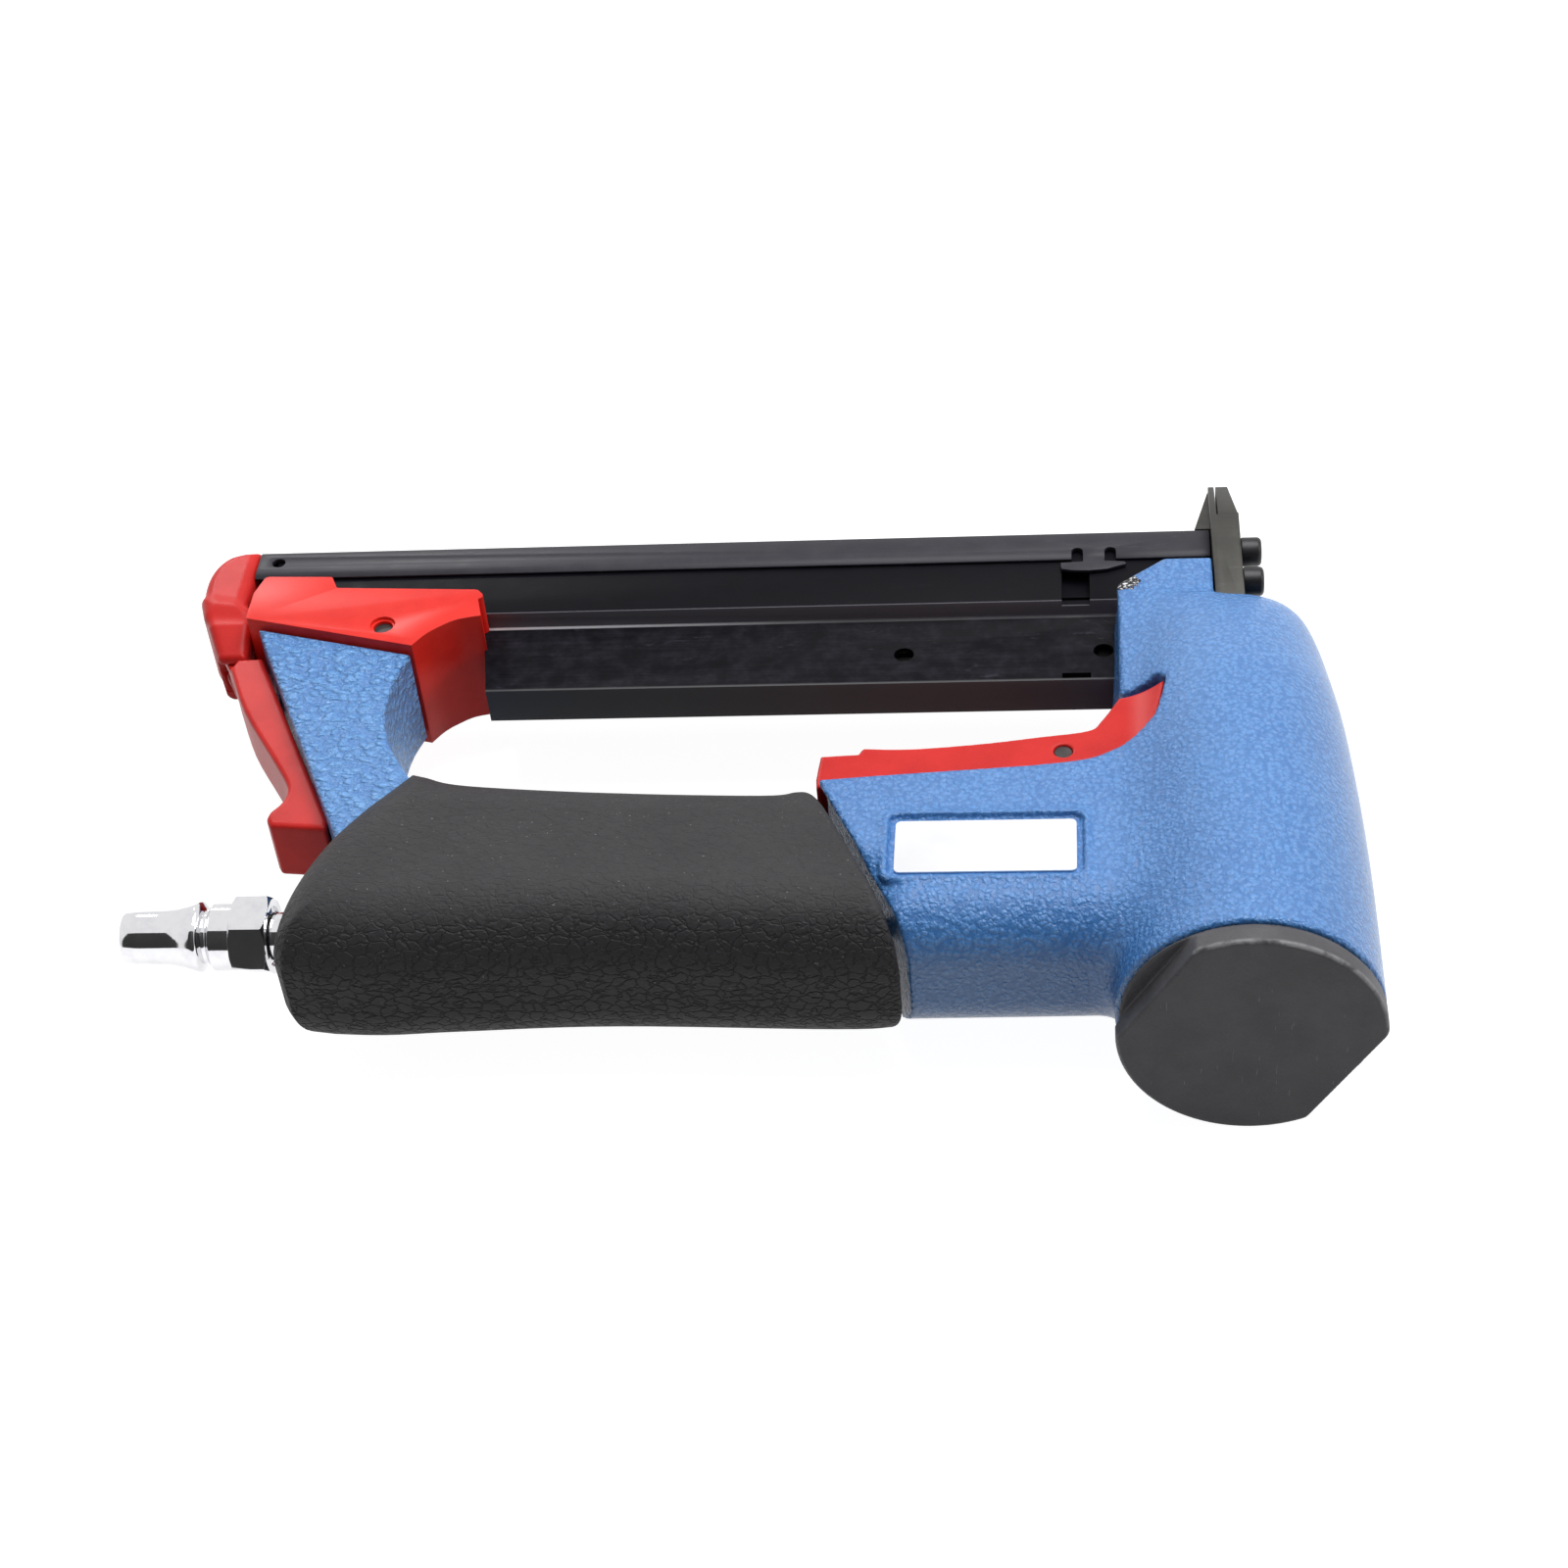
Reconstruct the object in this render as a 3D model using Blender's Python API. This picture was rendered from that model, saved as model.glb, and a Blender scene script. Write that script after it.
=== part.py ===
"""Pneumatic stapler lying on its side, built as separate named pieces."""

import math

import bmesh
import bpy
from mathutils import Vector

# Sizes are millimetres in the tool's own frame: head axis X = 0, cap face Y = 0, mid-plane Z = 0
MM = 0.001
TOOL_AT = (91.5, -71.75, 23.0)
FIT = 0.3
SEAM = 0.2
SIDES = 24

# Head, cap and what runs along the head's axis
HEAD_R = 23.0
CAP_FLANGE = 5.0
CAP_EDGE = 1.2
CAP_FLAT_AT = HEAD_R - 3.8
CAP_FLAT_DEPTH = 4.4
CAP_RIM = 3.9
CAP_STEP = 0.7
CAP_FLAT_ANGLE = math.radians(148)
CAP_BOSS = 13.0
CAP_POCKET_R = HEAD_R - 5.8
CAP_POCKET_FLOOR = 3.2
UPPER_BORE_R = HEAD_R - 2.7
UPPER_BORE_END = 58.0
SLEEVE_OUT_R = HEAD_R - 6.5
SLEEVE_IN_R = SLEEVE_OUT_R - 1.6
SLEEVE_TOP = 22.0
SLEEVE_FLANGE = (53.0, 57.7)
FLOOR_Y = 86.0
PISTON = (23.0, 35.0)
STROKE = 32.0
BUMPER_TOP = PISTON[1] + STROKE + 0.7
BUMPER_HOLE_R = 7.2
BLADE_HALF = 6.35
BLADE_X = (-0.2, 0.5)
BLADE_END = (31.0, 111.0)
HEAD_END = 103.7
# Each head section gives how far it drops below the head's radius at the handle, the front and the sides
HEAD_SECTIONS = [
    (CAP_FLANGE + SEAM, 0.0, 0.0, 0.0, 2.0),
    (32.0, 0.0, 0.0, 0.0, 2.0),
    (54.0, 0.3, 0.6, 0.5, 2.0),
    (74.0, 1.0, 1.9, 2.0, 2.1),
    (88.0, 1.8, 3.7, 4.4, 2.2),
    (97.0, 2.4, 5.4, 6.6, 2.4),
    (102.0, 2.7, 7.1, 8.4, 2.6),
    (HEAD_END, 2.9, 10.0, 10.4, 3.0),
]
BLOCK_HALF = 13.0
BLOCK_X = (2.3 - HEAD_R, -2.0)
BLOCK_END = 116.2

# Handle and grip: each section gives its top and bottom points and its half-width
HANDLE_HALF = 15.0
PART_TOP = (-79.0, 53.6)
PART_FOOT = (-59.5, 11.4)
HANDLE_TOP = 50.7
HANDLE_FOOT = 12.9
PART_SLOPE = (PART_TOP[0] - PART_FOOT[0]) / (PART_TOP[1] - PART_FOOT[1])
HANDLE_SECTIONS = [
    (-4.0, 58.0, -4.0, 13.6, HANDLE_HALF),
    (-36.0, 54.2, -34.0, 13.2, HANDLE_HALF),
    (
        PART_TOP[0] + PART_SLOPE * (HANDLE_TOP - PART_TOP[1]) + FIT,
        HANDLE_TOP,
        PART_TOP[0] + PART_SLOPE * (HANDLE_FOOT - PART_TOP[1]) + FIT,
        HANDLE_FOOT,
        HANDLE_HALF,
    ),
]
GRIP_SECTIONS = [
    (*PART_TOP, *PART_FOOT, 16.0),
    (-86.0, 52.5, -72.0, 10.7, 16.4),
    (-114.0, 53.8, -112.0, 12.2, 16.5),
    (-140.0, 56.2, -140.0, 11.3, 16.5),
    (-151.7, 59.8, -154.0, 10.6, 16.7),
    (-157.5, 54.1, -163.7, 11.0, 16.6),
    (-162.3, 47.8, -169.4, 11.4, 15.7),
    (-169.7, 33.9, -171.8, 12.6, 10.3),
]
GRIP_WALL = 3.0
GRIP_ROUND = 12.5
CORE_FRONT = (-70.0, 50.0, -54.0, 14.6, HANDLE_HALF - 1.0)
CHAMBER = (-160.0, -12.0, 19.0, 40.0, 8.0)
AIR_Y = 27.0
BUSH_R = 6.0
BUSH_X = (-169.8, -159.0)
BUSH_STEP_X = -163.0
PLUG_THREAD_R = 4.4
PLUG_BORE_R = 2.6
HEX_R = 7.8
HEX_X = (-181.6, -174.8)
PLUG_END = -202.5
LABEL = (-61.0, -29.0, 26.2, 39.3)
LABEL_RIM = 1.2

# Rear strut, bracket and latch
STRUT_HALF = 11.0
STRUT_TOP_L = (-191.0, 102.8)
STRUT_TOP_R = (-158.5, 93.7)
STRUT_FOOT = (-162.0, 36.6)
LEVER_ROOM_FOOT = 45.7
TONGUE_HALF = 5.0
TONGUE_X = (-186.0, -161.5)
TONGUE_TOP = 107.0
BRACKET_HALF = 12.7
BRACKET_PIN_AT = (-165.0, 100.9)
BRACKET_PIN_R = 1.8
END_CAP_HALF = 9.0
EAR_HALF = 6.2
LATCH_AT = (-197.0, 104.0)
LATCH_PIN_R = 1.3
LEVER_HALF = 6.5
KNUCKLE_HALF = 4.0
KNUCKLE_R = 3.1

# Trigger and its valve
TRIGGER_AT = (-31.3, 59.2)
TRIGGER_TURN = math.radians(4)
TRIGGER_HALF = HANDLE_HALF - 1.8
TRIGGER_PIN_R = 1.6
CHEEK_IN = TRIGGER_HALF - 1.2
POCKET_HALF = TRIGGER_HALF - 2.7
LUG_HALF = POCKET_HALF - 2.5
STEM_X = -59.3
STEM_R = 2.4
VALVE_R = 6.0
VALVE_Y = (26.0, 45.5)
STEM_TOP = 58.0
TRIGGER_TOP = [
    (-76.2, 53.0),
    (-75.7, 59.0),
    (-68.8, 59.4),
    (-68.0, 61.0),
    (-59.0, 60.5),
    (-46.4, 61.8),
    (-35.7, 63.4),
    (-26.8, 64.8),
    (-24.1, 67.4),
    (-21.3, 73.2),
    (-13.0, 77.6),
]
TRIGGER_FOOT = [
    (-14.8, 72.0),
    (-17.6, 65.5),
    (-22.0, 60.0),
    (-27.5, 56.8),
    (-36.0, 54.6),
    (-46.3, 53.6),
    (-64.0, 51.8),
    (-76.0, 50.4),
]
WEB = 2.2

# Magazine, measured across the tool
RIB_HALF = 3.8
RIB_Y = (90.3, 110.3)
ROOF_Y = 112.0
RAIL_HALF = 7.3
RAIL_IN = 6.6
RAIL_END = 129.5
RAIL_X = (-192.5, -2.1)
RIB_X = (-143.0, -6.0)
CAVITY_HALF = 2.6
RIB_HOLES_X = (-62.3, -23.5)
RIB_HOLE_Y = 99.0
RIB_HOLE_R = 1.95
SLIDE_HALF = 8.4
SLIDE_IN = 7.6
SLIDE_Y = (122.9, 130.9)
SLIDE_X = (-196.2, -2.1)
SLIDE_FLOOR = 1.0
CORE_HALF = 5.2
CORE_TOP = 113.8
CORE_WALL = 1.0
PUSHER_X = (-24.5, -2.5)
ROD_Y = 102.0
ROD_R = 1.1

# Nose
PLATE_X = (-0.5, 3.8)
GUIDE_X = (-1.8, -0.6)
NOSE_HALF = 11.8
NOSE_REACH = 12.6
NOSE_END = SLIDE_Y[1] + NOSE_REACH
NOSE_TAPER = NOSE_END - 11.8
TIP_HALF = 9.4
GROOVE_HALF = BLADE_HALF + FIT
GROOVE_FLOOR = BLADE_X[1] + FIT
SCREWS_Y = (112.2, 121.6)
SCREW_Z = 9.5
SCREW_R = 1.5
SCREW_HEAD_R = 2.9
SCREW_HEAD = 4.0
THREAD_FIT = 0.1


def clear_scene():
    """Empty the scene before the model is built."""
    for obj in list(bpy.data.objects):
        bpy.data.objects.remove(obj)


def surface(name, colour, roughness, metallic):
    """Make one plain material."""
    made = bpy.data.materials.new(name)
    made.use_nodes = True
    shader = made.node_tree.nodes["Principled BSDF"]
    shader.inputs["Base Color"].default_value = (*colour, 1.0)
    shader.inputs["Roughness"].default_value = roughness
    shader.inputs["Metallic"].default_value = metallic
    return made


PAINT = ("paint", (0.06, 0.20, 0.52), 0.35, 0.2)
RED = ("red_plastic", (0.72, 0.03, 0.02), 0.35, 0.0)
GRIP = ("grip_rubber", (0.03, 0.03, 0.03), 0.75, 0.0)
CAP = ("cap_plastic", (0.04, 0.04, 0.045), 0.5, 0.0)
BLACK = ("black_steel", (0.035, 0.033, 0.038), 0.38, 0.6)
STEEL = ("bright_steel", (0.6, 0.6, 0.62), 0.3, 1.0)
CHROME = ("chrome", (0.85, 0.85, 0.87), 0.08, 1.0)
ALLOY = ("alloy", (0.66, 0.67, 0.69), 0.4, 1.0)
BRASS = ("brass", (0.75, 0.6, 0.3), 0.35, 1.0)
SEAL = ("seal_rubber", (0.02, 0.02, 0.02), 0.7, 0.0)
WHITE = ("label_white", (0.85, 0.86, 0.88), 0.45, 0.0)


def axis_empty(name, at, parent=None):
    """Make the empty that a body's pieces hang from, at a point in millimetres."""
    empty = bpy.data.objects.new(name, None)
    bpy.context.scene.collection.objects.link(empty)
    empty.parent = parent
    empty.location = Vector(at) * MM
    empty.empty_display_size = 5 * MM
    return empty


def place(name, bm, finish=None, body=None):
    """Turn a bmesh in tool millimetres into a piece of one body, or a hidden cutter when it has no finish."""
    body = body or bpy.data.objects["tool_body"]
    shift = body.location / MM if body.parent else Vector()
    for vert in bm.verts:
        vert.co = (vert.co - shift) * MM
    bmesh.ops.recalc_face_normals(bm, faces=bm.faces)
    mesh = bpy.data.meshes.new(name)
    bm.to_mesh(mesh)
    bm.free()
    obj = bpy.data.objects.new(name, mesh)
    bpy.context.scene.collection.objects.link(obj)
    obj.parent = body
    if finish is None:
        obj.hide_render = True
        obj.display_type = "WIRE"
        return obj
    label, colour, roughness, metallic = finish
    mesh.materials.append(surface(f"{name}_{label}", colour, roughness, metallic))
    return obj


def prism(outline, axis, low, high):
    """Extrude a closed outline along x, y or z; the outline holds the other two coordinates in order."""
    bm = bmesh.new()
    slot = "xyz".index(axis)
    rings = []
    for along in (low, high):
        ring = []
        for a, b in outline:
            point = [a, b]
            point.insert(slot, along)
            ring.append(bm.verts.new(point))
        rings.append(ring)
    skin(bm, rings)
    return bm


def skin(bm, rings):
    """Join rings of equal length with quads and close both ends."""
    for first, second in zip(rings, rings[1:]):
        count = len(first)
        for i in range(count):
            j = (i + 1) % count
            bm.faces.new((first[i], first[j], second[j], second[i]))
    bm.faces.new(rings[0])
    bm.faces.new(rings[-1])


def box(x, y, z):
    """Make a box from three pairs of limits."""
    outline = [(x[0], y[0]), (x[1], y[0]), (x[1], y[1]), (x[0], y[1])]
    return prism(outline, "z", z[0], z[1])


def turned(profile, axis, centre=(0.0, 0.0), sides=SIDES):
    """Spin a closed profile of (radius, along) points round an axis through centre."""
    bm = bmesh.new()
    slot = "xyz".index(axis)

    def at(radius, along):
        point = [centre[0] + radius, centre[1]]
        point.insert(slot, along)
        return bm.verts.new(point)

    verts = [at(*point) for point in profile]
    edges = []
    for i, vert in enumerate(verts):
        edges.append(bm.edges.new((vert, verts[(i + 1) % len(verts)])))
    direction = Vector((0.0, 0.0, 0.0))
    direction[slot] = 1.0
    middle = [centre[0], centre[1]]
    middle.insert(slot, 0.0)
    bmesh.ops.spin(
        bm, geom=verts + edges, cent=middle, axis=direction, angle=math.tau, steps=sides, use_merge=True
    )
    bmesh.ops.remove_doubles(bm, verts=bm.verts, dist=1e-4)
    bmesh.ops.dissolve_degenerate(bm, edges=bm.edges, dist=1e-4)
    inner = [face for face in bm.faces if face.calc_area() < 1e-6]
    bmesh.ops.delete(bm, geom=inner, context="FACES")
    return shade_round(bm)


def shade_round(bm, limit=math.radians(35)):
    """Shade a round shape smooth, with its corners kept sharp."""
    bm.normal_update()
    for face in bm.faces:
        face.smooth = True
    for edge in bm.edges:
        edge.smooth = edge.calc_face_angle(math.pi) < limit
    return bm


def rod(radius, axis, low, high, centre=(0.0, 0.0), sides=16):
    """Make a plain cylinder along an axis."""
    outline = [
        (
            centre[0] + radius * math.cos(math.tau * i / sides),
            centre[1] + radius * math.sin(math.tau * i / sides),
        )
        for i in range(sides)
    ]
    return shade_round(prism(outline, axis, low, high))


def ring(inner, outer, low, high, axis="y", centre=(0.0, 0.0), sides=SIDES):
    """Make a ring of rectangular section."""
    return turned([(inner, low), (outer, low), (outer, high), (inner, high)], axis, centre, sides)


def rounded(corners, step=math.radians(20)):
    """Return an outline from (a, b, radius) corners, with an arc at each."""
    points = []
    for i, (a, b, radius) in enumerate(corners):
        here = Vector((a, b))
        back = (Vector(corners[i - 1][:2]) - here).normalized()
        ahead = (Vector(corners[(i + 1) % len(corners)][:2]) - here).normalized()
        if radius == 0.0:
            points.append((a, b))
            continue
        half = back.angle(ahead) / 2
        centre = here + (back + ahead).normalized() * radius / math.sin(half)
        start = here + back * radius / math.tan(half) - centre
        sweep = start.angle_signed(here + ahead * radius / math.tan(half) - centre)
        count = max(1, math.ceil(abs(sweep) / step))
        for k in range(count + 1):
            turn = -sweep * k / count
            points.append(
                (
                    centre.x + start.x * math.cos(turn) - start.y * math.sin(turn),
                    centre.y + start.x * math.sin(turn) + start.y * math.cos(turn),
                )
            )
    return points


def oval_section(low, high, half, power, count=40):
    """Return the (x, z) points of a section between a circle and a rounded rectangle."""
    middle = (low + high) / 2
    reach = (high - low) / 2
    points = []
    for i in range(count):
        turn = math.tau * i / count
        across = math.copysign(abs(math.cos(turn)) ** (2 / power), math.cos(turn))
        up = math.copysign(abs(math.sin(turn)) ** (2 / power), math.sin(turn))
        points.append((middle + reach * across, half * up))
    return points


def head_loft():
    """Loft the head from its round top to its squarer nose end."""
    bm = bmesh.new()
    rings = []
    for along, rear, front, side, power in HEAD_SECTIONS:
        section = oval_section(rear - HEAD_R, HEAD_R - front, HEAD_R - side, power)
        rings.append([bm.verts.new((x, along, z)) for x, z in section])
    skin(bm, rings)
    return bm


def handle_loft(sections, top_round, foot_round, inset=0.0):
    """Loft rounded sections, each spanned by its bottom and top points."""
    bm = bmesh.new()
    rings = []
    for top_x, top_y, foot_x, foot_y, half in sections:
        foot = Vector((foot_x, foot_y))
        rise = Vector((top_x, top_y)) - foot
        height = rise.length - 2 * inset
        width = half - inset
        top_r = min(top_round - inset, width * 0.8, height * 0.4)
        foot_r = min(foot_round - inset, width * 0.8, height * 0.4)
        corners = [
            (-width, 0.0, foot_r),
            (width, 0.0, foot_r),
            (width, height, top_r),
            (-width, height, top_r),
        ]
        way = rise.normalized()
        ring_verts = []
        for z, along in rounded(corners, math.radians(31)):
            flat = foot + way * (along + inset)
            ring_verts.append(bm.verts.new((flat.x, flat.y, z)))
        rings.append(ring_verts)
    skin(bm, rings)
    return bm


def combine(obj, name, bm, operation="DIFFERENCE"):
    """Cut or join one hidden shape with an object."""
    other = place(name, bm, body=obj.parent)
    step = obj.modifiers.new(name, "BOOLEAN")
    step.operation = operation
    step.solver = "EXACT"
    step.object = other
    return other


def soften(obj, width, segments=2, angle=40):
    """Round the sharp edges of an object."""
    step = obj.modifiers.new("soften", "BEVEL")
    step.width = width * MM
    step.segments = segments
    step.limit_method = "ANGLE"
    step.angle_limit = math.radians(angle)
    step.use_clamp_overlap = True
    return obj


def coil(name, axis, centre, radius, wire, low, high, turns, body=None):
    """Make a coil spring as a bevelled curve."""
    body = body or bpy.data.objects["tool_body"]
    shift = body.location / MM if body.parent else Vector()
    slot = "xyz".index(axis)
    steps = int(turns * 8)
    curve = bpy.data.curves.new(name, "CURVE")
    curve.dimensions = "3D"
    curve.bevel_depth = wire * MM
    curve.bevel_resolution = 0
    curve.use_fill_caps = True
    spline = curve.splines.new("POLY")
    spline.points.add(steps)
    for i, point in enumerate(spline.points):
        turn = math.tau * turns * i / steps
        spot = [centre[0] + radius * math.cos(turn), centre[1] + radius * math.sin(turn)]
        spot.insert(slot, low + wire + (high - low - 2 * wire) * i / steps)
        point.co = (*((Vector(spot) - shift) * MM), 1.0)
    obj = bpy.data.objects.new(name, curve)
    bpy.context.scene.collection.objects.link(obj)
    obj.parent = body
    label, colour, roughness, metallic = STEEL
    curve.materials.append(surface(f"{name}_{label}", colour, roughness, metallic))
    return obj


def turned_outline(points, angle):
    """Turn (x, y) points about the trigger's pin."""
    cos, sin = math.cos(angle), math.sin(angle)
    px, py = TRIGGER_AT
    return [
        (px + (x - px) * cos - (y - py) * sin, py + (x - px) * sin + (y - py) * cos) for x, y in points
    ]


def lowered(points, drop):
    """Shift (x, y) points towards the cap."""
    return [(x, y - drop) for x, y in points]


def strut_outline(margin=0.0):
    """Side outline of the rear strut, grown by a margin at its front and rear edges."""
    left_x, left_y = STRUT_TOP_L
    right_x, right_y = STRUT_TOP_R
    return [
        (left_x - margin, left_y),
        (STRUT_FOOT[0] - margin, STRUT_FOOT[1]),
        (-149.5 + margin, STRUT_FOOT[1]),
        (-151.0 + margin, 54.0),
        (-153.9 + margin, 59.3),
        (-157.9 + margin, 66.3),
        (-159.6 + margin, 71.2),
        (-160.7 + margin, 76.2),
        (-160.8 + margin, 81.2),
        (-160.2 + margin, 87.6),
        (right_x + margin, right_y),
    ]


def lever_room():
    """Side outline of the space behind the strut that the latch lever fills."""
    left_x, left_y = STRUT_TOP_L
    slope = (STRUT_FOOT[0] - left_x) / (left_y - STRUT_FOOT[1])
    foot_x = left_x + slope * (left_y - LEVER_ROOM_FOOT)
    return [(left_x, left_y), (foot_x, LEVER_ROOM_FOOT), (-200.0, LEVER_ROOM_FOOT), (-215.0, left_y)]


def rail_outline(margin=0.0):
    """Section of the fixed rail across the tool, grown outwards by a margin."""
    half = RIB_HALF + margin
    wide = RAIL_HALF + margin
    side = [(RIB_Y[0] - margin, half), (RIB_Y[1] - margin, half), (RIB_Y[1] - margin, wide), (RAIL_END, wide)]
    return side + [(y, -z) for y, z in reversed(side)]


def build_housing():
    """Head, handle, nose block and rear strut as one casting, with its bores and recesses."""
    housing = place("housing", head_loft(), PAINT)
    combine(housing, "add_handle", handle_loft(HANDLE_SECTIONS, 0.8, 11.0), "UNION")
    core = [CORE_FRONT] + GRIP_SECTIONS[:-1]
    combine(housing, "add_core", handle_loft(core, GRIP_ROUND, GRIP_ROUND, GRIP_WALL + FIT), "UNION")
    corner = [(-42.0, 40.0), (-40.0, 53.6), (-35.7, 54.0), (-26.9, 55.4), (-21.5, 58.5), (-17.0, 63.8)]
    corner += [(-14.1, 70.6), (-12.7, 75.6), (-4.0, 78.0), (-4.0, 40.0)]
    combine(housing, "add_corner", prism(corner, "z", -HANDLE_HALF, HANDLE_HALF), "UNION")
    block = [(BLOCK_X[0], 73.4), (BLOCK_X[0], BLOCK_END - 7.8), (-11.5, BLOCK_END), (BLOCK_X[1], BLOCK_END)]
    block += [(BLOCK_X[1], 80.0), (-8.0, 76.0)]
    combine(housing, "add_block", prism(block, "z", -BLOCK_HALF, BLOCK_HALF), "UNION")
    strut = combine(
        housing, "add_strut", prism(strut_outline(), "z", -STRUT_HALF, STRUT_HALF), "UNION"
    )
    soften(strut, 1.6)
    tongue = box(TONGUE_X, (85.0, TONGUE_TOP), (-TONGUE_HALF, TONGUE_HALF))
    combine(housing, "add_tongue", tongue, "UNION")
    cut_head(housing)
    cut_handle(housing)
    cut_trigger_seat(housing)
    combine(housing, "cut_rail", rail_slot())
    return housing


def rail_slot():
    """Space in the nose block for the front end of the rail."""
    return prism(rail_outline(FIT), "x", BLOCK_X[0] - 8.0, BLOCK_X[1] - 2.5)


def cut_head(housing):
    """Bore the head for the sleeve and slot it for the driver."""
    bore = [
        (0.0, 0.0),
        (UPPER_BORE_R, 0.0),
        (UPPER_BORE_R, UPPER_BORE_END),
        (SLEEVE_OUT_R + FIT, UPPER_BORE_END),
        (SLEEVE_OUT_R + FIT, 79.5),
        (SLEEVE_OUT_R + 1.4, 79.5),
        (SLEEVE_OUT_R + 1.4, 82.0),
        (SLEEVE_OUT_R + FIT, 82.0),
        (SLEEVE_OUT_R + FIT, FLOOR_Y),
        (0.0, FLOOR_Y),
    ]
    combine(housing, "cut_bore", turned(bore, "y"))
    slot = box((BLADE_X[0] - FIT, GROOVE_FLOOR), (70.0, 125.0), (-GROOVE_HALF, GROOVE_HALF))
    combine(housing, "cut_driver_slot", slot)
    throat = box((BLOCK_X[1] - 4.0, 2.0), (RIB_Y[1] - FIT, 125.0), (-RAIL_HALF - FIT, RAIL_HALF + FIT))
    combine(housing, "cut_throat", throat)
    for i, (y, z) in enumerate(screw_places()):
        if y < BLOCK_END:
            combine(housing, f"cut_screw_{i}", rod(SCREW_R + THREAD_FIT, "x", -12.5, 10.0, (y, z), 12))


def cut_handle(housing):
    """Hollow the handle for air, and cut the inlet, the label recess and the lever's space."""
    low, high, foot, top, half = CHAMBER
    corners = [(foot, -half, 4.0), (top, -half, 4.0), (top, half, 4.0), (foot, half, 4.0)]
    combine(housing, "cut_chamber", prism(rounded(corners, math.radians(46)), "x", low, high))
    combine(housing, "cut_inlet", rod(BUSH_R + FIT, "x", -190.0, low + 3.0, (AIR_Y, 0.0), 24))
    valve = rod(VALVE_R + FIT, "y", foot + 4.0, 70.0, (STEM_X, 0.0), 24)
    combine(housing, "cut_valve", valve)
    x0, x1, y0, y1 = LABEL
    rim = [(x0 - LABEL_RIM, y0 - LABEL_RIM), (x1 + LABEL_RIM, y0 - LABEL_RIM)]
    rim += [(x1 + LABEL_RIM, y1 + LABEL_RIM), (x0 - LABEL_RIM, y1 + LABEL_RIM)]
    rim = rounded([(x, y, 1.5) for x, y in rim], math.radians(46))
    recess = prism(rim, "z", HANDLE_HALF - 0.6, 2 * HANDLE_HALF)
    combine(housing, "cut_label", recess)
    combine(housing, "cut_lever_room", prism(lever_room(), "z", -2 * STRUT_HALF, 2 * STRUT_HALF))
    pin_hole = rod(BRACKET_PIN_R + FIT, "z", -20.0, 20.0, BRACKET_PIN_AT)
    combine(housing, "cut_bracket_pin", pin_hole)


def cut_trigger_seat(housing):
    """Cut the seat that the trigger sinks into, and add back the lug for its pin."""
    rest = lowered(TRIGGER_FOOT, 2 * FIT)
    pulled = turned_outline(rest, TRIGGER_TURN)
    seat = [(-78.0, pulled[-1][1] - FIT), (-78.0, 75.0), (-23.0, 75.0)]
    seat += [point for point in rest if TRIGGER_AT[0] < point[0] < -20.0]
    seat += [point for point in pulled if point[0] < TRIGGER_AT[0]]
    combine(housing, "cut_seat", prism(seat, "z", -TRIGGER_HALF - FIT, TRIGGER_HALF + FIT))
    sweep = [(-26.0, 57.0), (-22.0, 59.2), (-17.0, 65.0), (-14.2, 71.8), (-12.5, 77.6), (-13.9, 79.8)]
    sweep += [(-22.8, 75.2), (-26.0, 70.0)]
    tail = [(-26.0, 57.0), (-21.5, 58.5), (-17.0, 63.8), (-14.1, 70.6), (-12.6, 75.6), (-12.3, 78.2)]
    tail += [(-21.5, 73.7), (-24.6, 67.9), (-26.0, 66.0)]
    for sign, side in ((1, "near"), (-1, "far")):
        low, middle, high = sorted(sign * z for z in (CHEEK_IN - FIT, TRIGGER_HALF + FIT, 2 * HANDLE_HALF))
        inner, outer = ((low, middle), (middle, high))[::sign]
        combine(housing, f"cut_sweep_{side}", prism(sweep, "z", *inner))
        combine(housing, f"cut_tail_{side}", prism(tail, "z", *outer))
    px, py = TRIGGER_AT
    lug = [(px - 5.0, 44.0, 0.0), (px + 5.0, 44.0, 0.0), (px + 2.6, py + 2.5, 2.2), (px - 2.6, py + 2.5, 2.2)]
    lug = rounded(lug)
    combine(housing, "add_lug", prism(lug, "z", -LUG_HALF, LUG_HALF), "UNION")
    combine(housing, "cut_lug", rod(TRIGGER_PIN_R + FIT, "z", -20.0, 20.0, TRIGGER_AT))


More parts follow.
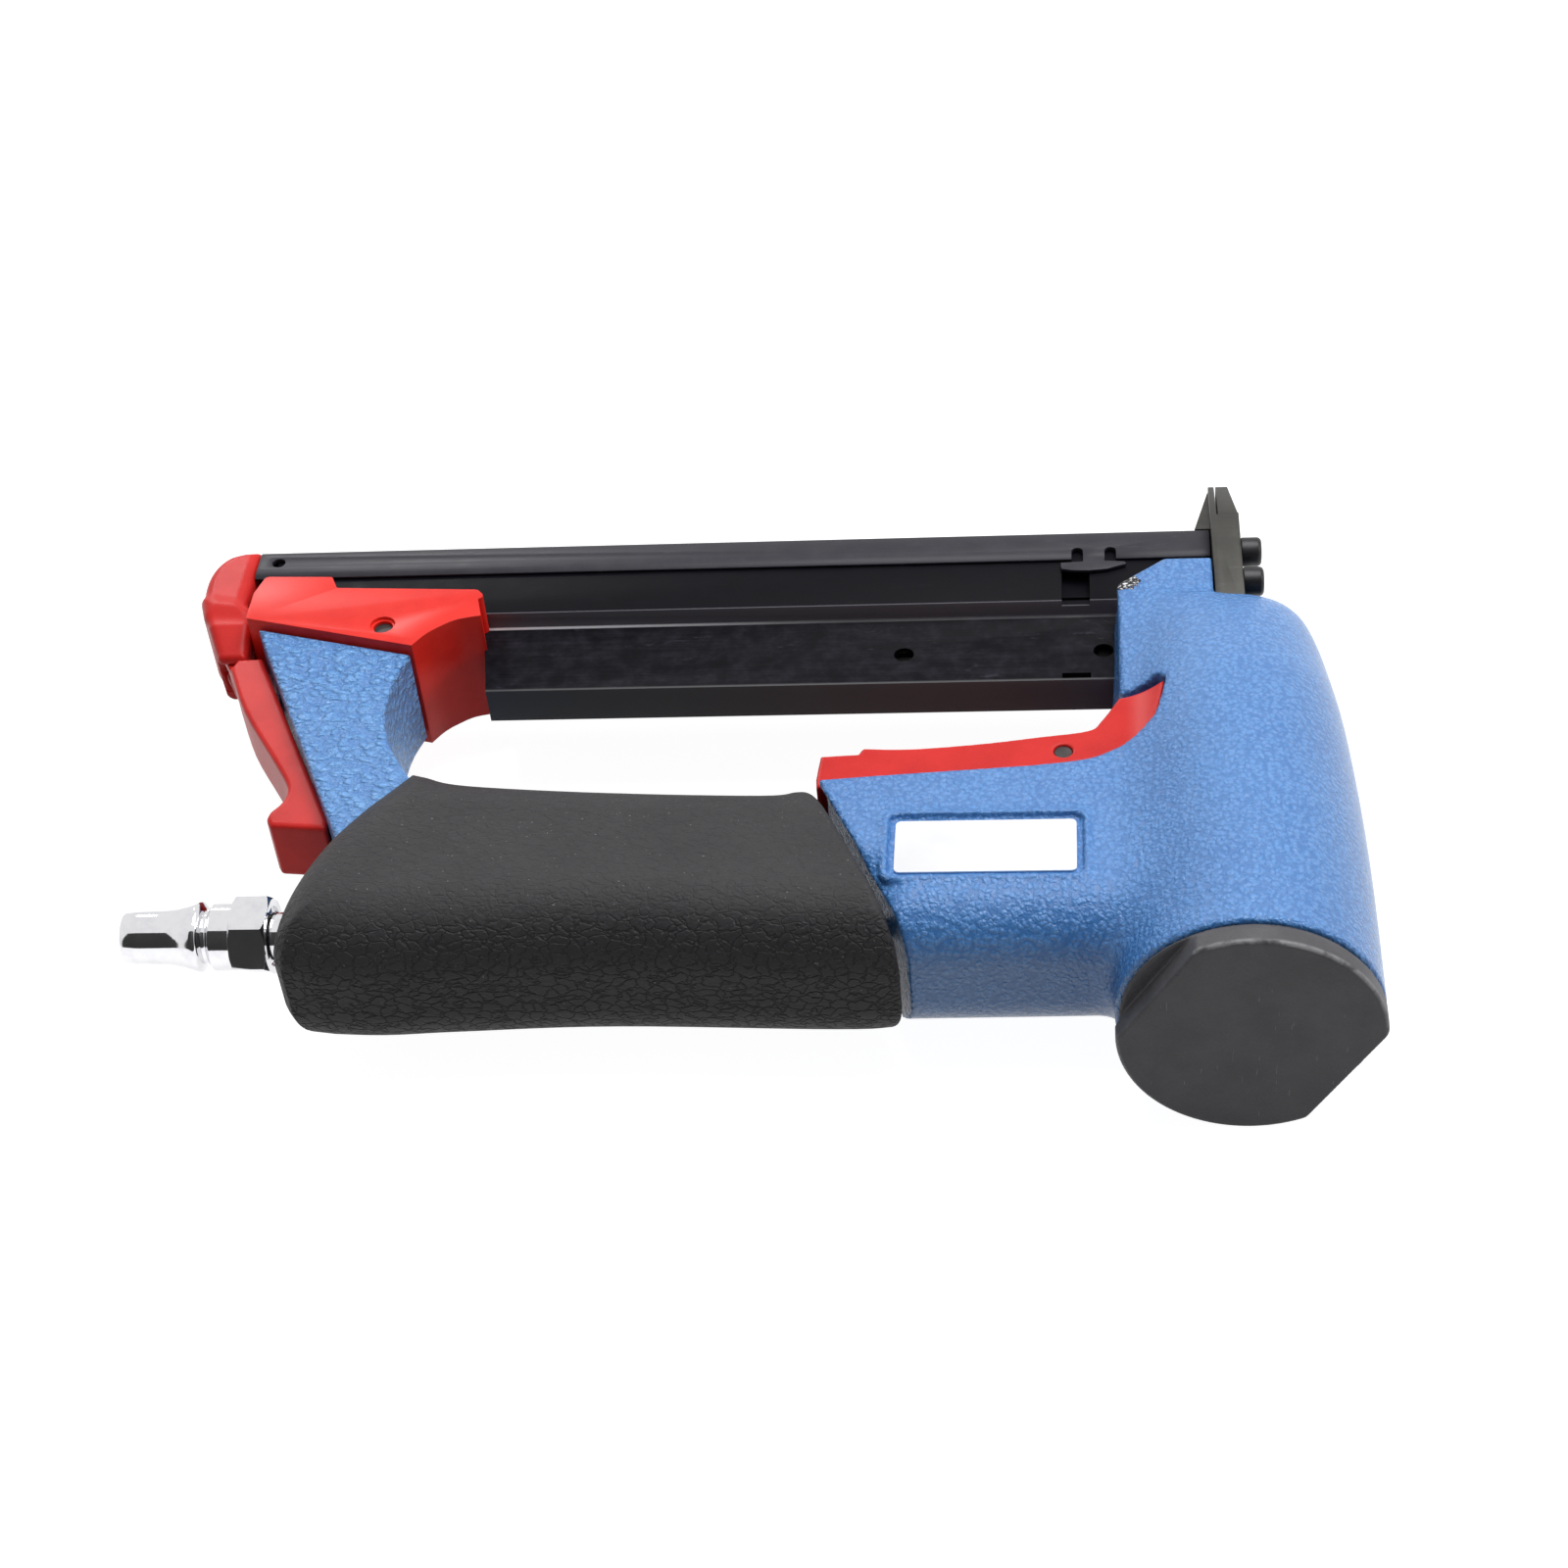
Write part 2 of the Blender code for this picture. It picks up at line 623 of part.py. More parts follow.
def build_cap():
    """Screwed cylinder cap with two wrench flats, and its seal."""
    profile = [
        (0.0, 0.0),
        (HEAD_R - CAP_EDGE, 0.0),
        (HEAD_R - 0.35 * CAP_EDGE, 0.35 * CAP_EDGE),
        (HEAD_R, CAP_EDGE),
        (HEAD_R, CAP_RIM),
        (HEAD_R - CAP_STEP, CAP_RIM),
        (HEAD_R - CAP_STEP, CAP_FLANGE),
        (UPPER_BORE_R - FIT, CAP_FLANGE),
        (UPPER_BORE_R - FIT, 8.6),
        (UPPER_BORE_R - 1.6, 8.6),
        (UPPER_BORE_R - 1.6, 11.4),
        (UPPER_BORE_R - FIT, 11.4),
        (UPPER_BORE_R - FIT, CAP_BOSS),
        (CAP_POCKET_R, CAP_BOSS),
        (CAP_POCKET_R, CAP_POCKET_FLOOR),
        (0.0, CAP_POCKET_FLOOR),
    ]
    cap = place("cylinder_cap", turned(profile, "y", sides=40), CAP)
    for i in range(2):
        turn = CAP_FLAT_ANGLE + math.pi * i
        out = Vector((math.cos(turn), math.sin(turn)))
        along = Vector((-out.y, out.x))
        spots = ((CAP_FLAT_AT, -30.0), (40.0, -30.0), (40.0, 30.0), (CAP_FLAT_AT, 30.0))
        corners = [tuple(out * reach + along * across) for reach, across in spots]
        combine(cap, f"cut_flat_{i}", prism(corners, "y", -5.0, CAP_FLAT_DEPTH))
    place("cap_seal", ring(UPPER_BORE_R - 1.4, UPPER_BORE_R - 0.1, 9.0, 11.0), SEAL)


def build_cylinder():
    """Cylinder sleeve, its two seals and the bumper at its foot."""
    flange = UPPER_BORE_R - FIT
    profile = [
        (SLEEVE_IN_R, SLEEVE_TOP),
        (SLEEVE_OUT_R, SLEEVE_TOP),
        (SLEEVE_OUT_R, SLEEVE_FLANGE[0]),
        (flange, SLEEVE_FLANGE[0]),
        (flange, SLEEVE_FLANGE[0] + 1.2),
        (flange - 1.4, SLEEVE_FLANGE[0] + 1.2),
        (flange - 1.4, SLEEVE_FLANGE[1] - 1.2),
        (flange, SLEEVE_FLANGE[1] - 1.2),
        (flange, SLEEVE_FLANGE[1]),
        (SLEEVE_OUT_R, SLEEVE_FLANGE[1]),
        (SLEEVE_OUT_R, FLOOR_Y - FIT),
        (SLEEVE_IN_R, FLOOR_Y - FIT),
    ]
    place("cylinder_sleeve", turned(profile, "y"), ALLOY)
    upper = ring(flange - 1.2, UPPER_BORE_R - 0.1, SLEEVE_FLANGE[0] + 1.4, SLEEVE_FLANGE[1] - 1.4)
    place("sleeve_upper_seal", upper, SEAL)
    place("sleeve_lower_seal", ring(SLEEVE_OUT_R + 0.1, SLEEVE_OUT_R + 1.2, 79.7, 81.8), SEAL)
    place("bumper", ring(BUMPER_HOLE_R, SLEEVE_IN_R - FIT, BUMPER_TOP, FLOOR_Y - FIT), SEAL)


def build_piston():
    """Piston, its seal ring and the driver blade."""
    body = bpy.data.objects["piston_axis"]
    outer = SLEEVE_IN_R - FIT
    profile = [
        (0.0, PISTON[0]),
        (outer, PISTON[0]),
        (outer, 27.6),
        (outer - 1.5, 27.6),
        (outer - 1.5, 30.4),
        (outer, 30.4),
        (outer, PISTON[1] - 2.0),
        (9.5, PISTON[1]),
        (0.0, PISTON[1]),
    ]
    piston = place("piston", turned(profile, "y"), ALLOY, body)
    reach = BLADE_HALF + 0.1
    slot = box((BLADE_X[0] - 0.1, BLADE_X[1] + 0.1), (BLADE_END[0] - 0.1, 40.0), (-reach, reach))
    combine(piston, "cut_blade", slot)
    place("piston_seal", ring(outer - 1.3, SLEEVE_IN_R - 0.1, 27.9, 30.1), SEAL, body)
    place("driver_blade", box(BLADE_X, BLADE_END, (-BLADE_HALF, BLADE_HALF)), STEEL, body)


def build_head_valve():
    """Head valve that closes the top of the sleeve, its face seal and its spring."""
    body = bpy.data.objects["head_valve_axis"]
    outer = CAP_POCKET_R - 0.4
    lip = outer - 4.2
    profile = [(0.0, 16.0), (lip, 16.0), (lip, 9.0), (outer, 9.0), (outer, 19.6), (0.0, 19.6)]
    place("head_valve", turned(profile, "y"), ALLOY, body)
    place("head_valve_seal", ring(lip + 0.2, outer - 0.2, 19.6, SLEEVE_TOP - FIT), SEAL, body)
    coil("head_valve_spring", "y", (0.0, 0.0), 9.0, 0.8, CAP_POCKET_FLOOR + 0.2, 15.8, 4)


def build_grip():
    """Moulded sleeve round the handle, open at its front and where the strut leaves it."""
    grip = place("handle_grip", handle_loft(GRIP_SECTIONS, GRIP_ROUND, GRIP_ROUND), GRIP)
    core = [CORE_FRONT] + GRIP_SECTIONS[:-1]
    combine(grip, "cut_core", handle_loft(core, GRIP_ROUND, GRIP_ROUND, GRIP_WALL))
    gap = STRUT_HALF + FIT
    combine(grip, "cut_strut", prism(strut_outline(FIT), "z", -gap, gap))
    combine(grip, "cut_bush", rod(BUSH_R + FIT, "x", -190.0, -150.0, (AIR_Y, 0.0), 24))


def build_inlet():
    """Inlet bush in the end of the handle and the quick plug screwed into it."""
    bush = [
        (PLUG_THREAD_R + FIT, BUSH_X[0]),
        (BUSH_R, BUSH_X[0]),
        (BUSH_R, BUSH_X[1]),
        (3.4, BUSH_X[1]),
        (3.4, BUSH_STEP_X),
        (PLUG_THREAD_R + FIT, BUSH_STEP_X),
    ]
    place("inlet_bush", turned(bush, "x", (AIR_Y, 0.0), 24), BRASS)
    plug = [
        (0.0, PLUG_END),
        (4.4, PLUG_END),
        (5.0, PLUG_END + 0.6),
        (5.1, -196.0),
        (5.6, -192.0),
        (6.5, -188.8),
        (6.5, -187.9),
        (5.1, -187.1),
        (5.1, -186.3),
        (6.4, -185.6),
        (6.4, HEX_X[0] + 0.1),
        (6.0, HEX_X[0] + 0.1),
        (6.0, HEX_X[1] - 0.1),
        (PLUG_THREAD_R, HEX_X[1] - 0.1),
        (PLUG_THREAD_R, BUSH_STEP_X - 0.4),
        (0.0, BUSH_STEP_X - 0.4),
    ]
    obj = place("air_plug", turned(plug, "x", (AIR_Y, 0.0), 24), CHROME)
    hexagon = []
    for i in range(6):
        turn = math.tau * i / 6
        hexagon.append((AIR_Y + HEX_R * math.sin(turn), HEX_R * math.cos(turn)))
    combine(obj, "add_hex", prism(hexagon, "x", *HEX_X), "UNION")
    combine(obj, "cut_air_way", rod(PLUG_BORE_R, "x", -210.0, -150.0, (AIR_Y, 0.0), 24))


def build_label():
    """Bare label plate in its recess."""
    x0, x1, y0, y1 = LABEL
    place("label_plate", box((x0, x1), (y0, y1), (HANDLE_HALF - 0.6, HANDLE_HALF - 0.2)), WHITE)


def build_trigger():
    """Trigger saddle, its pin and the valve that it opens."""
    body = bpy.data.objects["trigger_axis"]
    shell = prism(TRIGGER_TOP + TRIGGER_FOOT, "z", -TRIGGER_HALF, TRIGGER_HALF)
    trigger = place("trigger", shell, RED, body)
    soften(trigger, 0.5, 1, 50)
    pocket = [(-72.5, 40.0), (-72.5, 57.0), (-66.0, 58.2)] + lowered(TRIGGER_TOP[5:9], WEB) + [(-24.1, 40.0)]
    combine(trigger, "cut_pocket", prism(pocket, "z", -POCKET_HALF, POCKET_HALF))
    tail = [(-25.0, 40.0), (-25.0, 64.0), (-24.0, 67.0), (-23.0, 80.0), (-5.0, 80.0), (-5.0, 40.0)]
    combine(trigger, "cut_tail", prism(tail, "z", -CHEEK_IN, CHEEK_IN))
    combine(trigger, "cut_pin", rod(TRIGGER_PIN_R + 0.1, "z", -20.0, 20.0, TRIGGER_AT))
    pin_half = TRIGGER_HALF - 0.4
    place("trigger_pin", rod(TRIGGER_PIN_R, "z", -pin_half, pin_half, TRIGGER_AT), STEEL)
    bush = [
        (1.2, VALVE_Y[0]),
        (VALVE_R, VALVE_Y[0]),
        (VALVE_R, 41.5),
        (VALVE_R - 1.0, 41.5),
        (VALVE_R - 1.0, 43.9),
        (VALVE_R, 43.9),
        (VALVE_R, VALVE_Y[1]),
        (STEM_R + FIT, VALVE_Y[1]),
        (STEM_R + FIT, 41.0),
        (4.2, 41.0),
        (4.2, VALVE_Y[0] + 1.5),
        (1.2, VALVE_Y[0] + 1.5),
    ]
    at = (STEM_X, 0.0)
    place("valve_bush", turned(bush, "y", at, 24), BRASS)
    place("valve_bush_seal", ring(VALVE_R - 0.8, VALVE_R + 0.2, 41.7, 43.7, "y", at, 24), SEAL)
    stem = [(0.0, 36.8), (3.8, 36.8), (3.8, 40.6), (STEM_R, 40.6), (STEM_R, STEM_TOP), (0.0, STEM_TOP)]
    place("valve_stem", turned(stem, "y", at, 20), STEEL, bpy.data.objects["stem_axis"])
    coil("valve_spring", "y", at, 2.9, 0.45, VALVE_Y[0] + 1.7, 36.6, 5)


def build_rail():
    """Fixed rail: a hollow rib above the staple channel."""
    side = [
        (RIB_Y[0], RIB_HALF),
        (RIB_Y[1], RIB_HALF),
        (RIB_Y[1], RAIL_HALF),
        (RAIL_END, RAIL_HALF),
        (RAIL_END, RAIL_IN),
        (ROOF_Y, RAIL_IN),
        (ROOF_Y, CAVITY_HALF),
        (RIB_Y[0] + 1.7, CAVITY_HALF),
    ]
    section = side + [(y, -z) for y, z in reversed(side)]
    rail = place("magazine_rail", prism(section, "x", *RAIL_X), BLACK)
    foot = RIB_Y[0] - 10.0
    combine(rail, "cut_rib_rear", box((RAIL_X[0] - 5.0, RIB_X[0]), (foot, RIB_Y[1]), (-6.0, 6.0)))
    combine(rail, "cut_rib_front", box((RIB_X[1], RAIL_X[1] + 5.0), (foot, RIB_Y[1]), (-6.0, 6.0)))
    for i, x in enumerate(RIB_HOLES_X):
        combine(rail, f"cut_hole_{i}", rod(RIB_HOLE_R, "z", -10.0, 10.0, (x, RIB_HOLE_Y)))


def build_pusher():
    """Staple pusher in the rail, with its guide rod and spring."""
    body = bpy.data.objects["pusher_axis"]
    leg_in = CORE_HALF + FIT
    leg_out = RAIL_IN - FIT
    web = (ROOF_Y + FIT, CORE_TOP - FIT)
    side = [(97.5, 2.2), (web[0], 2.2), (web[0], leg_out), (127.0, leg_out)]
    side += [(127.0, leg_in), (web[1], leg_in)]
    section = side + [(y, -z) for y, z in reversed(side)]
    pusher = place("pusher", prism(section, "x", *PUSHER_X), BLACK, body)
    combine(pusher, "cut_tongue", box((-14.0, 5.0), (90.0, web[0]), (-6.0, 6.0)))
    combine(pusher, "cut_rod", rod(ROD_R + FIT, "x", -40.0, 0.0, (ROD_Y, 0.0), 12))
    rear = RIB_X[0]
    guide = place("spring_guide_rod", box((rear + 0.4, rear + 4.5), (94.0, 109.0), (-2.3, 2.3)), STEEL)
    combine(guide, "add_rod", rod(ROD_R, "x", rear + 1.5, RIB_X[1] - 1.0, (ROD_Y, 0.0), 12), "UNION")
    coil("pusher_spring", "x", (ROD_Y, 0.0), 1.85, 0.3, rear + 4.7, PUSHER_X[0] - 0.2, 18)


def build_slide():
    """Sliding magazine: outer channel, staple core, end cap, latch pin and latch lever."""
    body = bpy.data.objects["slide_axis"]
    foot = SLIDE_Y[1] - SLIDE_FLOOR
    side = [(SLIDE_Y[0], SLIDE_HALF), (SLIDE_Y[1], SLIDE_HALF)]
    inside = [(foot, -SLIDE_IN), (SLIDE_Y[0], -SLIDE_IN)]
    section = side + [(y, -z) for y, z in reversed(side)] + [(y, z) for y, z in reversed(inside)]
    section += [(y, -z) for y, z in inside]
    channel = place("slide_channel", prism(section, "x", *SLIDE_X), BLACK, body)
    combine(channel, "cut_slide_hole", rod(1.4, "z", -20.0, 20.0, (-192.0, 127.2), 12))
    inner = CORE_HALF - CORE_WALL
    core = [(CORE_TOP, CORE_HALF), (foot, CORE_HALF), (foot, inner), (CORE_TOP + CORE_WALL, inner)]
    core_section = core + [(y, -z) for y, z in reversed(core)]
    place("slide_core", prism(core_section, "x", SLIDE_X[0], SLIDE_X[1] - 0.4), BLACK, body)
    build_end_cap(body)


def build_end_cap(body):
    """Red end cap of the slide with its latch pin, lever and lever spring."""
    lx, ly = LATCH_AT
    slide_end = SLIDE_X[0] - 0.1
    rear_gap = -193.8
    outline = [
        (slide_end, 110.8, 0.0),
        (slide_end, 131.2, 0.8),
        (-203.2, 130.2, 3.5),
        (-206.0, 123.5, 3.0),
        (-206.0, 116.6, 3.0),
        (-203.4, 111.2, 2.5),
    ]
    shell = prism(rounded(outline, math.radians(31)), "z", -END_CAP_HALF, END_CAP_HALF)
    cap = place("slide_end_cap", shell, RED, body)
    soften(cap, 1.2, 2, 50)
    ears = [(-203.5, 113.0), (-199.6, ly - 2.8), (rear_gap, ly - 2.8), (rear_gap, 110.5), (slide_end, 113.0)]
    combine(cap, "add_ears", prism(ears, "z", -EAR_HALF, EAR_HALF), "UNION")
    slot = KNUCKLE_HALF + FIT
    combine(cap, "cut_knuckle", box((-203.5, -190.0), (95.0, ly + KNUCKLE_R + 1.0), (-slot, slot)))
    combine(cap, "cut_latch_pin", rod(LATCH_PIN_R + 0.1, "z", -20.0, 20.0, LATCH_AT, 12))
    place("latch_pin", rod(LATCH_PIN_R, "z", 0.2 - EAR_HALF, EAR_HALF - 0.2, LATCH_AT, 12), STEEL, body)
    build_lever(bpy.data.objects["latch_axis"])


def build_lever(body):
    """Latch lever lying along the strut, with its spring."""
    lx, ly = LATCH_AT
    outline = [
        (-190.0, 99.1),
        (-168.4, 50.1),
        (-168.8, 48.0),
        (-178.9, 49.6),
        (-179.6, 52.1),
        (-177.3, 57.2),
        (-177.8, 61.6),
        (-186.4, 77.7),
        (-196.0, 96.0),
        (-195.1, 99.1),
    ]
    lever = place("latch_lever", prism(outline, "z", -LEVER_HALF, LEVER_HALF), RED, body)
    soften(lever, 0.8, 1, 50)
    neck = [
        (lx - KNUCKLE_R, ly + KNUCKLE_R, 2.6),
        (lx - KNUCKLE_R, ly - 0.5, 0.0),
        (-195.4, 95.0, 0.0),
        (-190.5, 95.0, 0.0),
        (-191.6, ly - 4.0, 0.0),
        (lx + KNUCKLE_R, ly - 2.0, 0.0),
        (lx + KNUCKLE_R, ly + KNUCKLE_R, 2.6),
    ]
    solid = prism(rounded(neck, math.radians(31)), "z", -KNUCKLE_HALF, KNUCKLE_HALF)
    combine(lever, "add_neck", solid, "UNION")
    combine(lever, "cut_coil", box((-215.0, -180.0), (ly - 3.6, 120.0), (-1.9, 1.9)))
    combine(lever, "cut_lever_pin", rod(LATCH_PIN_R + FIT, "z", -20.0, 20.0, LATCH_AT, 12))
    coil("latch_spring", "z", LATCH_AT, 2.2, 0.35, -1.6, 1.6, 3, body)


def build_bracket():
    """Red bracket that holds the rear of the rail on the strut, and its pin."""
    left_x, left_y = STRUT_TOP_L
    right_x, right_y = STRUT_TOP_R
    outline = [
        (left_x - 2.3, left_y + FIT + 0.6),
        (left_x - 2.3, 112.0),
        (-191.8, 117.2),
        (-178.0, 116.6),
        (-176.4, 113.0),
        (-147.4, 111.4),
        (-145.4, 108.9),
        (-145.4, 103.0),
        (-150.2, 101.6),
        (-153.3, 99.8),
        (-155.8, 97.7),
        (right_x + 0.4, right_y + FIT),
    ]
    bracket = place("rear_bracket", prism(outline, "z", -BRACKET_HALF, BRACKET_HALF), RED)
    way = box((-200.0, -130.0), (RIB_Y[1] - FIT, 125.0), (-RAIL_HALF - FIT, RAIL_HALF + FIT))
    combine(bracket, "cut_channel_way", way)
    gap = TONGUE_HALF + FIT
    pocket = box((TONGUE_X[0] - FIT, TONGUE_X[1] + FIT), (80.0, TONGUE_TOP + FIT), (-gap, gap))
    combine(bracket, "cut_tongue_way", pocket)
    combine(bracket, "cut_pin_way", rod(BRACKET_PIN_R + 0.1, "z", -20.0, 20.0, BRACKET_PIN_AT))
    place("bracket_pin", rod(BRACKET_PIN_R, "z", -11.4, 11.4, BRACKET_PIN_AT), STEEL)


def screw_places():
    """Return the (y, z) places of the nose screws."""
    return [(y, sign * SCREW_Z) for y in SCREWS_Y for sign in (1, -1)]


def build_nose():
    """Nose front plate with the driver groove, rear guide behind it and the screws that hold them."""
    base = HEAD_END + SEAM
    face = [(base, NOSE_HALF), (NOSE_TAPER, NOSE_HALF), (NOSE_END, TIP_HALF)]
    face += [(y, -z) for y, z in reversed(face)]
    plate = place("nose_front_plate", prism(face, "x", *PLATE_X), BLACK)
    slope = [(PLATE_X[1] + 1.0, NOSE_TAPER - 1.5), (PLATE_X[1] - 0.2, NOSE_TAPER), (2.1, NOSE_END + 0.1)]
    beyond = NOSE_END + 6.0
    slope += [(2.1, beyond), (PLATE_X[1] + 1.0, beyond)]
    combine(plate, "cut_slope", prism(slope, "z", -20.0, 20.0))
    groove = box((-5.0, GROOVE_FLOOR), (base - 5.0, beyond), (-GROOVE_HALF, GROOVE_HALF))
    combine(plate, "cut_groove", groove)
    guide = place("nose_rear_guide", prism(face, "x", *GUIDE_X), BLACK)
    window = box((-5.0, 5.0), (base - 5.0, SLIDE_Y[1] + 0.2), (-RAIL_IN, RAIL_IN))
    combine(guide, "cut_window", window)
    wedge_top = SLIDE_Y[1] + 0.5
    wedge_front = GUIDE_X[1] - 0.4
    wedge = [(-4.9, wedge_top), (wedge_front, wedge_top), (wedge_front, NOSE_END), (-1.9, NOSE_END)]
    combine(guide, "add_wedge", prism(wedge, "z", -8.0, 8.0), "UNION")
    for i, (y, z) in enumerate(screw_places()):
        hole = (SCREW_R + THREAD_FIT, "x", -8.0, 8.0, (y, z), 12)
        combine(plate, f"cut_plate_{i}", rod(*hole))
        combine(guide, f"cut_guide_{i}", rod(*hole))
    build_nose_screws()


def build_nose_screws():
    """Socket screws of the nose: one pair reaches the block, the other pair ends in the guide."""
    for i, (y, z) in enumerate(screw_places()):
        tip = -11.5 if y < BLOCK_END else GUIDE_X[0]
        head_foot = PLATE_X[1] + 0.05
        head_top = PLATE_X[1] + SCREW_HEAD
        profile = [
            (0.0, tip),
            (SCREW_R, tip),
            (SCREW_R, head_foot),
            (SCREW_HEAD_R, head_foot),
            (SCREW_HEAD_R, head_top),
            (1.7, head_top),
            (1.7, head_top - 2.0),
            (0.0, head_top - 2.0),
        ]
        place(f"nose_screw_{i + 1}", turned(profile, "x", (y, z), 16), BLACK)


def main():
    """Build every piece."""
    clear_scene()
    tool = axis_empty("tool_body", TOOL_AT)
    axis_empty("piston_axis", (0.0, PISTON[0], 0.0), tool)
    axis_empty("head_valve_axis", (0.0, 16.0, 0.0), tool)
    axis_empty("trigger_axis", (*TRIGGER_AT, 0.0), tool)
    axis_empty("stem_axis", (STEM_X, STEM_TOP, 0.0), tool)
    axis_empty("pusher_axis", (PUSHER_X[0], ROD_Y, 0.0), tool)
    axis_empty("slide_axis", (SLIDE_X[0], SLIDE_Y[1], 0.0), tool)
    axis_empty("latch_axis", (*LATCH_AT, 0.0), tool)
    build_housing()
    build_cap()
    build_cylinder()
    build_piston()
    build_head_valve()
    build_grip()
    build_inlet()
    build_label()
    build_trigger()
    build_rail()
    build_pusher()
    build_slide()
    build_bracket()
    build_nose()


main()
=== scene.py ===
"""Finished look of the air stapler: dressed pieces, finishes, studio light and camera."""

import logging
import math
from dataclasses import dataclass
from enum import Enum
from typing import Callable, Sequence, Union

import bmesh
import bpy
import numpy as np
from mathutils import Matrix, Vector


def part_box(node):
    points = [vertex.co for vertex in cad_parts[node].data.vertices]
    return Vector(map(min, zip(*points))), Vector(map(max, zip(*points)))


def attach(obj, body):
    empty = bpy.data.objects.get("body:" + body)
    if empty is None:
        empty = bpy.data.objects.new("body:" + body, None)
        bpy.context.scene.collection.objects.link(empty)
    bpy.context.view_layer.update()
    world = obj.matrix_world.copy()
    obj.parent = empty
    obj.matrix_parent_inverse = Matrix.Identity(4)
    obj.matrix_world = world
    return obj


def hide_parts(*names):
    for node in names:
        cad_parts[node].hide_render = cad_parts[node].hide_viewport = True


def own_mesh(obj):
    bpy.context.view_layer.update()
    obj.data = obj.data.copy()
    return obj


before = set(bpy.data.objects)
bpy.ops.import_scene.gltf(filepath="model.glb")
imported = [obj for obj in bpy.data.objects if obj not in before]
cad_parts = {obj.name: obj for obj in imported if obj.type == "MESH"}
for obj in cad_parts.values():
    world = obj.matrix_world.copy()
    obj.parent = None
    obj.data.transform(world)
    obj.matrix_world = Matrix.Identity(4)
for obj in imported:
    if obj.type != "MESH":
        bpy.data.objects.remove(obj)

LOG = logging.getLogger("stapler")
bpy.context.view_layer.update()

Array = np.ndarray
Point = tuple[float, float]
Span = tuple[float, float]
Place = tuple[float, float, float]
Space = tuple[Place, Place]
Outline = Sequence[Point]
Corners = Sequence[Place]
Colour = tuple[float, float, float]
Shape = Callable[[Array, Array, Array], Array]

MM = 0.001
# The tool's own zero (head axis, cap face, mid-plane) in the row frame, in millimetres
TOOL_AT = np.array((91.5, -71.75, 23.0))
# The label's window in the handle: low X, high X, low Y, high Y, in tool millimetres
LABEL_AREA = (-61.0, -29.0, 26.2, 39.3)
# Direction across the slanted joint of handle and sleeve
JOINT_SLANT = (0.9077, 0.4194)
# Ends of a cut that goes right through the tool
THROUGH = (-20.0, 20.0)
# Sides of a round hole, plain or fine
PLAIN_SIDES = 24
FINE_SIDES = 32
# Angle in degrees past which a smooth mesh keeps a sharp edge
SHARP = 40.0


class Slot(Enum):
    """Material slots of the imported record."""

    PAINT = "paint"
    RED = "red_plastic"
    GRIP = "grip_rubber"
    CAP = "cap_plastic"
    BLACK = "black_steel"
    BRIGHT = "bright_steel"
    CHROME = "chrome"
    ALLOY = "alloy"
    BRASS = "brass"
    SEAL = "seal_rubber"
    LABEL = "label_white"


class Body(Enum):
    """Moving bodies of the tool that dressed pieces ride on."""

    TOOL = "tool_body"
    TRIGGER = "trigger"
    SLIDE = "magazine_slide"
    LATCH = "latch"


# Cells per size along each axis: even, or drawn out along the handle
EVEN: Place = (1.0, 1.0, 1.0)
DRAWN_OUT: Place = (0.72, 1.0, 1.0)
LEATHER: Place = (0.7, 1.0, 1.0)


# Shader maths


class Value:
    """One shader number that takes Python operators."""

    def __init__(self, shade: "Shade", socket: bpy.types.NodeSocket) -> None:
        """Hold a socket and the shade that it belongs to."""
        self.shade = shade
        self.socket = socket

    def _join(self, operation: str, left: "Term", right: "Term") -> "Value":
        """Join two terms by one Math node."""
        node = self.shade.node("ShaderNodeMath", {"operation": operation}, {0: left, 1: right})
        return Value(self.shade, node.outputs[0])

    def __add__(self, other: "Term") -> "Value":
        """Sum of two terms."""
        return self._join("ADD", self, other)

    def __radd__(self, other: "Term") -> "Value":
        """Sum with a plain number on the left."""
        return self._join("ADD", other, self)

    def __sub__(self, other: "Term") -> "Value":
        """Difference of two terms."""
        return self._join("SUBTRACT", self, other)

    def __rsub__(self, other: "Term") -> "Value":
        """Difference with a plain number on the left."""
        return self._join("SUBTRACT", other, self)

    def __mul__(self, other: "Term") -> "Value":
        """Product of two terms."""
        return self._join("MULTIPLY", self, other)

    def __rmul__(self, other: "Term") -> "Value":
        """Product with a plain number on the left."""
        return self._join("MULTIPLY", other, self)

    def __pow__(self, other: "Term") -> "Value":
        """Power of two terms."""
        return self._join("POWER", self, other)

    def __rpow__(self, other: "Term") -> "Value":
        """Power of a plain number on the left."""
        return self._join("POWER", other, self)

    def most(self, other: "Term") -> "Value":
        """Greater of two terms."""
        return self._join("MAXIMUM", self, other)

    def step(self, low: float, high: float) -> "Value":
        """Rise smoothly from 0 to 1.

        Args:
            low: Where the rise starts.
            high: Where the rise ends.

        Returns:
            The risen value.
        """
        sockets = {"Value": self, "From Min": low, "From Max": high}
        node = self.shade.node("ShaderNodeMapRange", {"interpolation_type": "SMOOTHSTEP"}, sockets)
        return Value(self.shade, node.outputs[0])


Term = Union[Value, float]


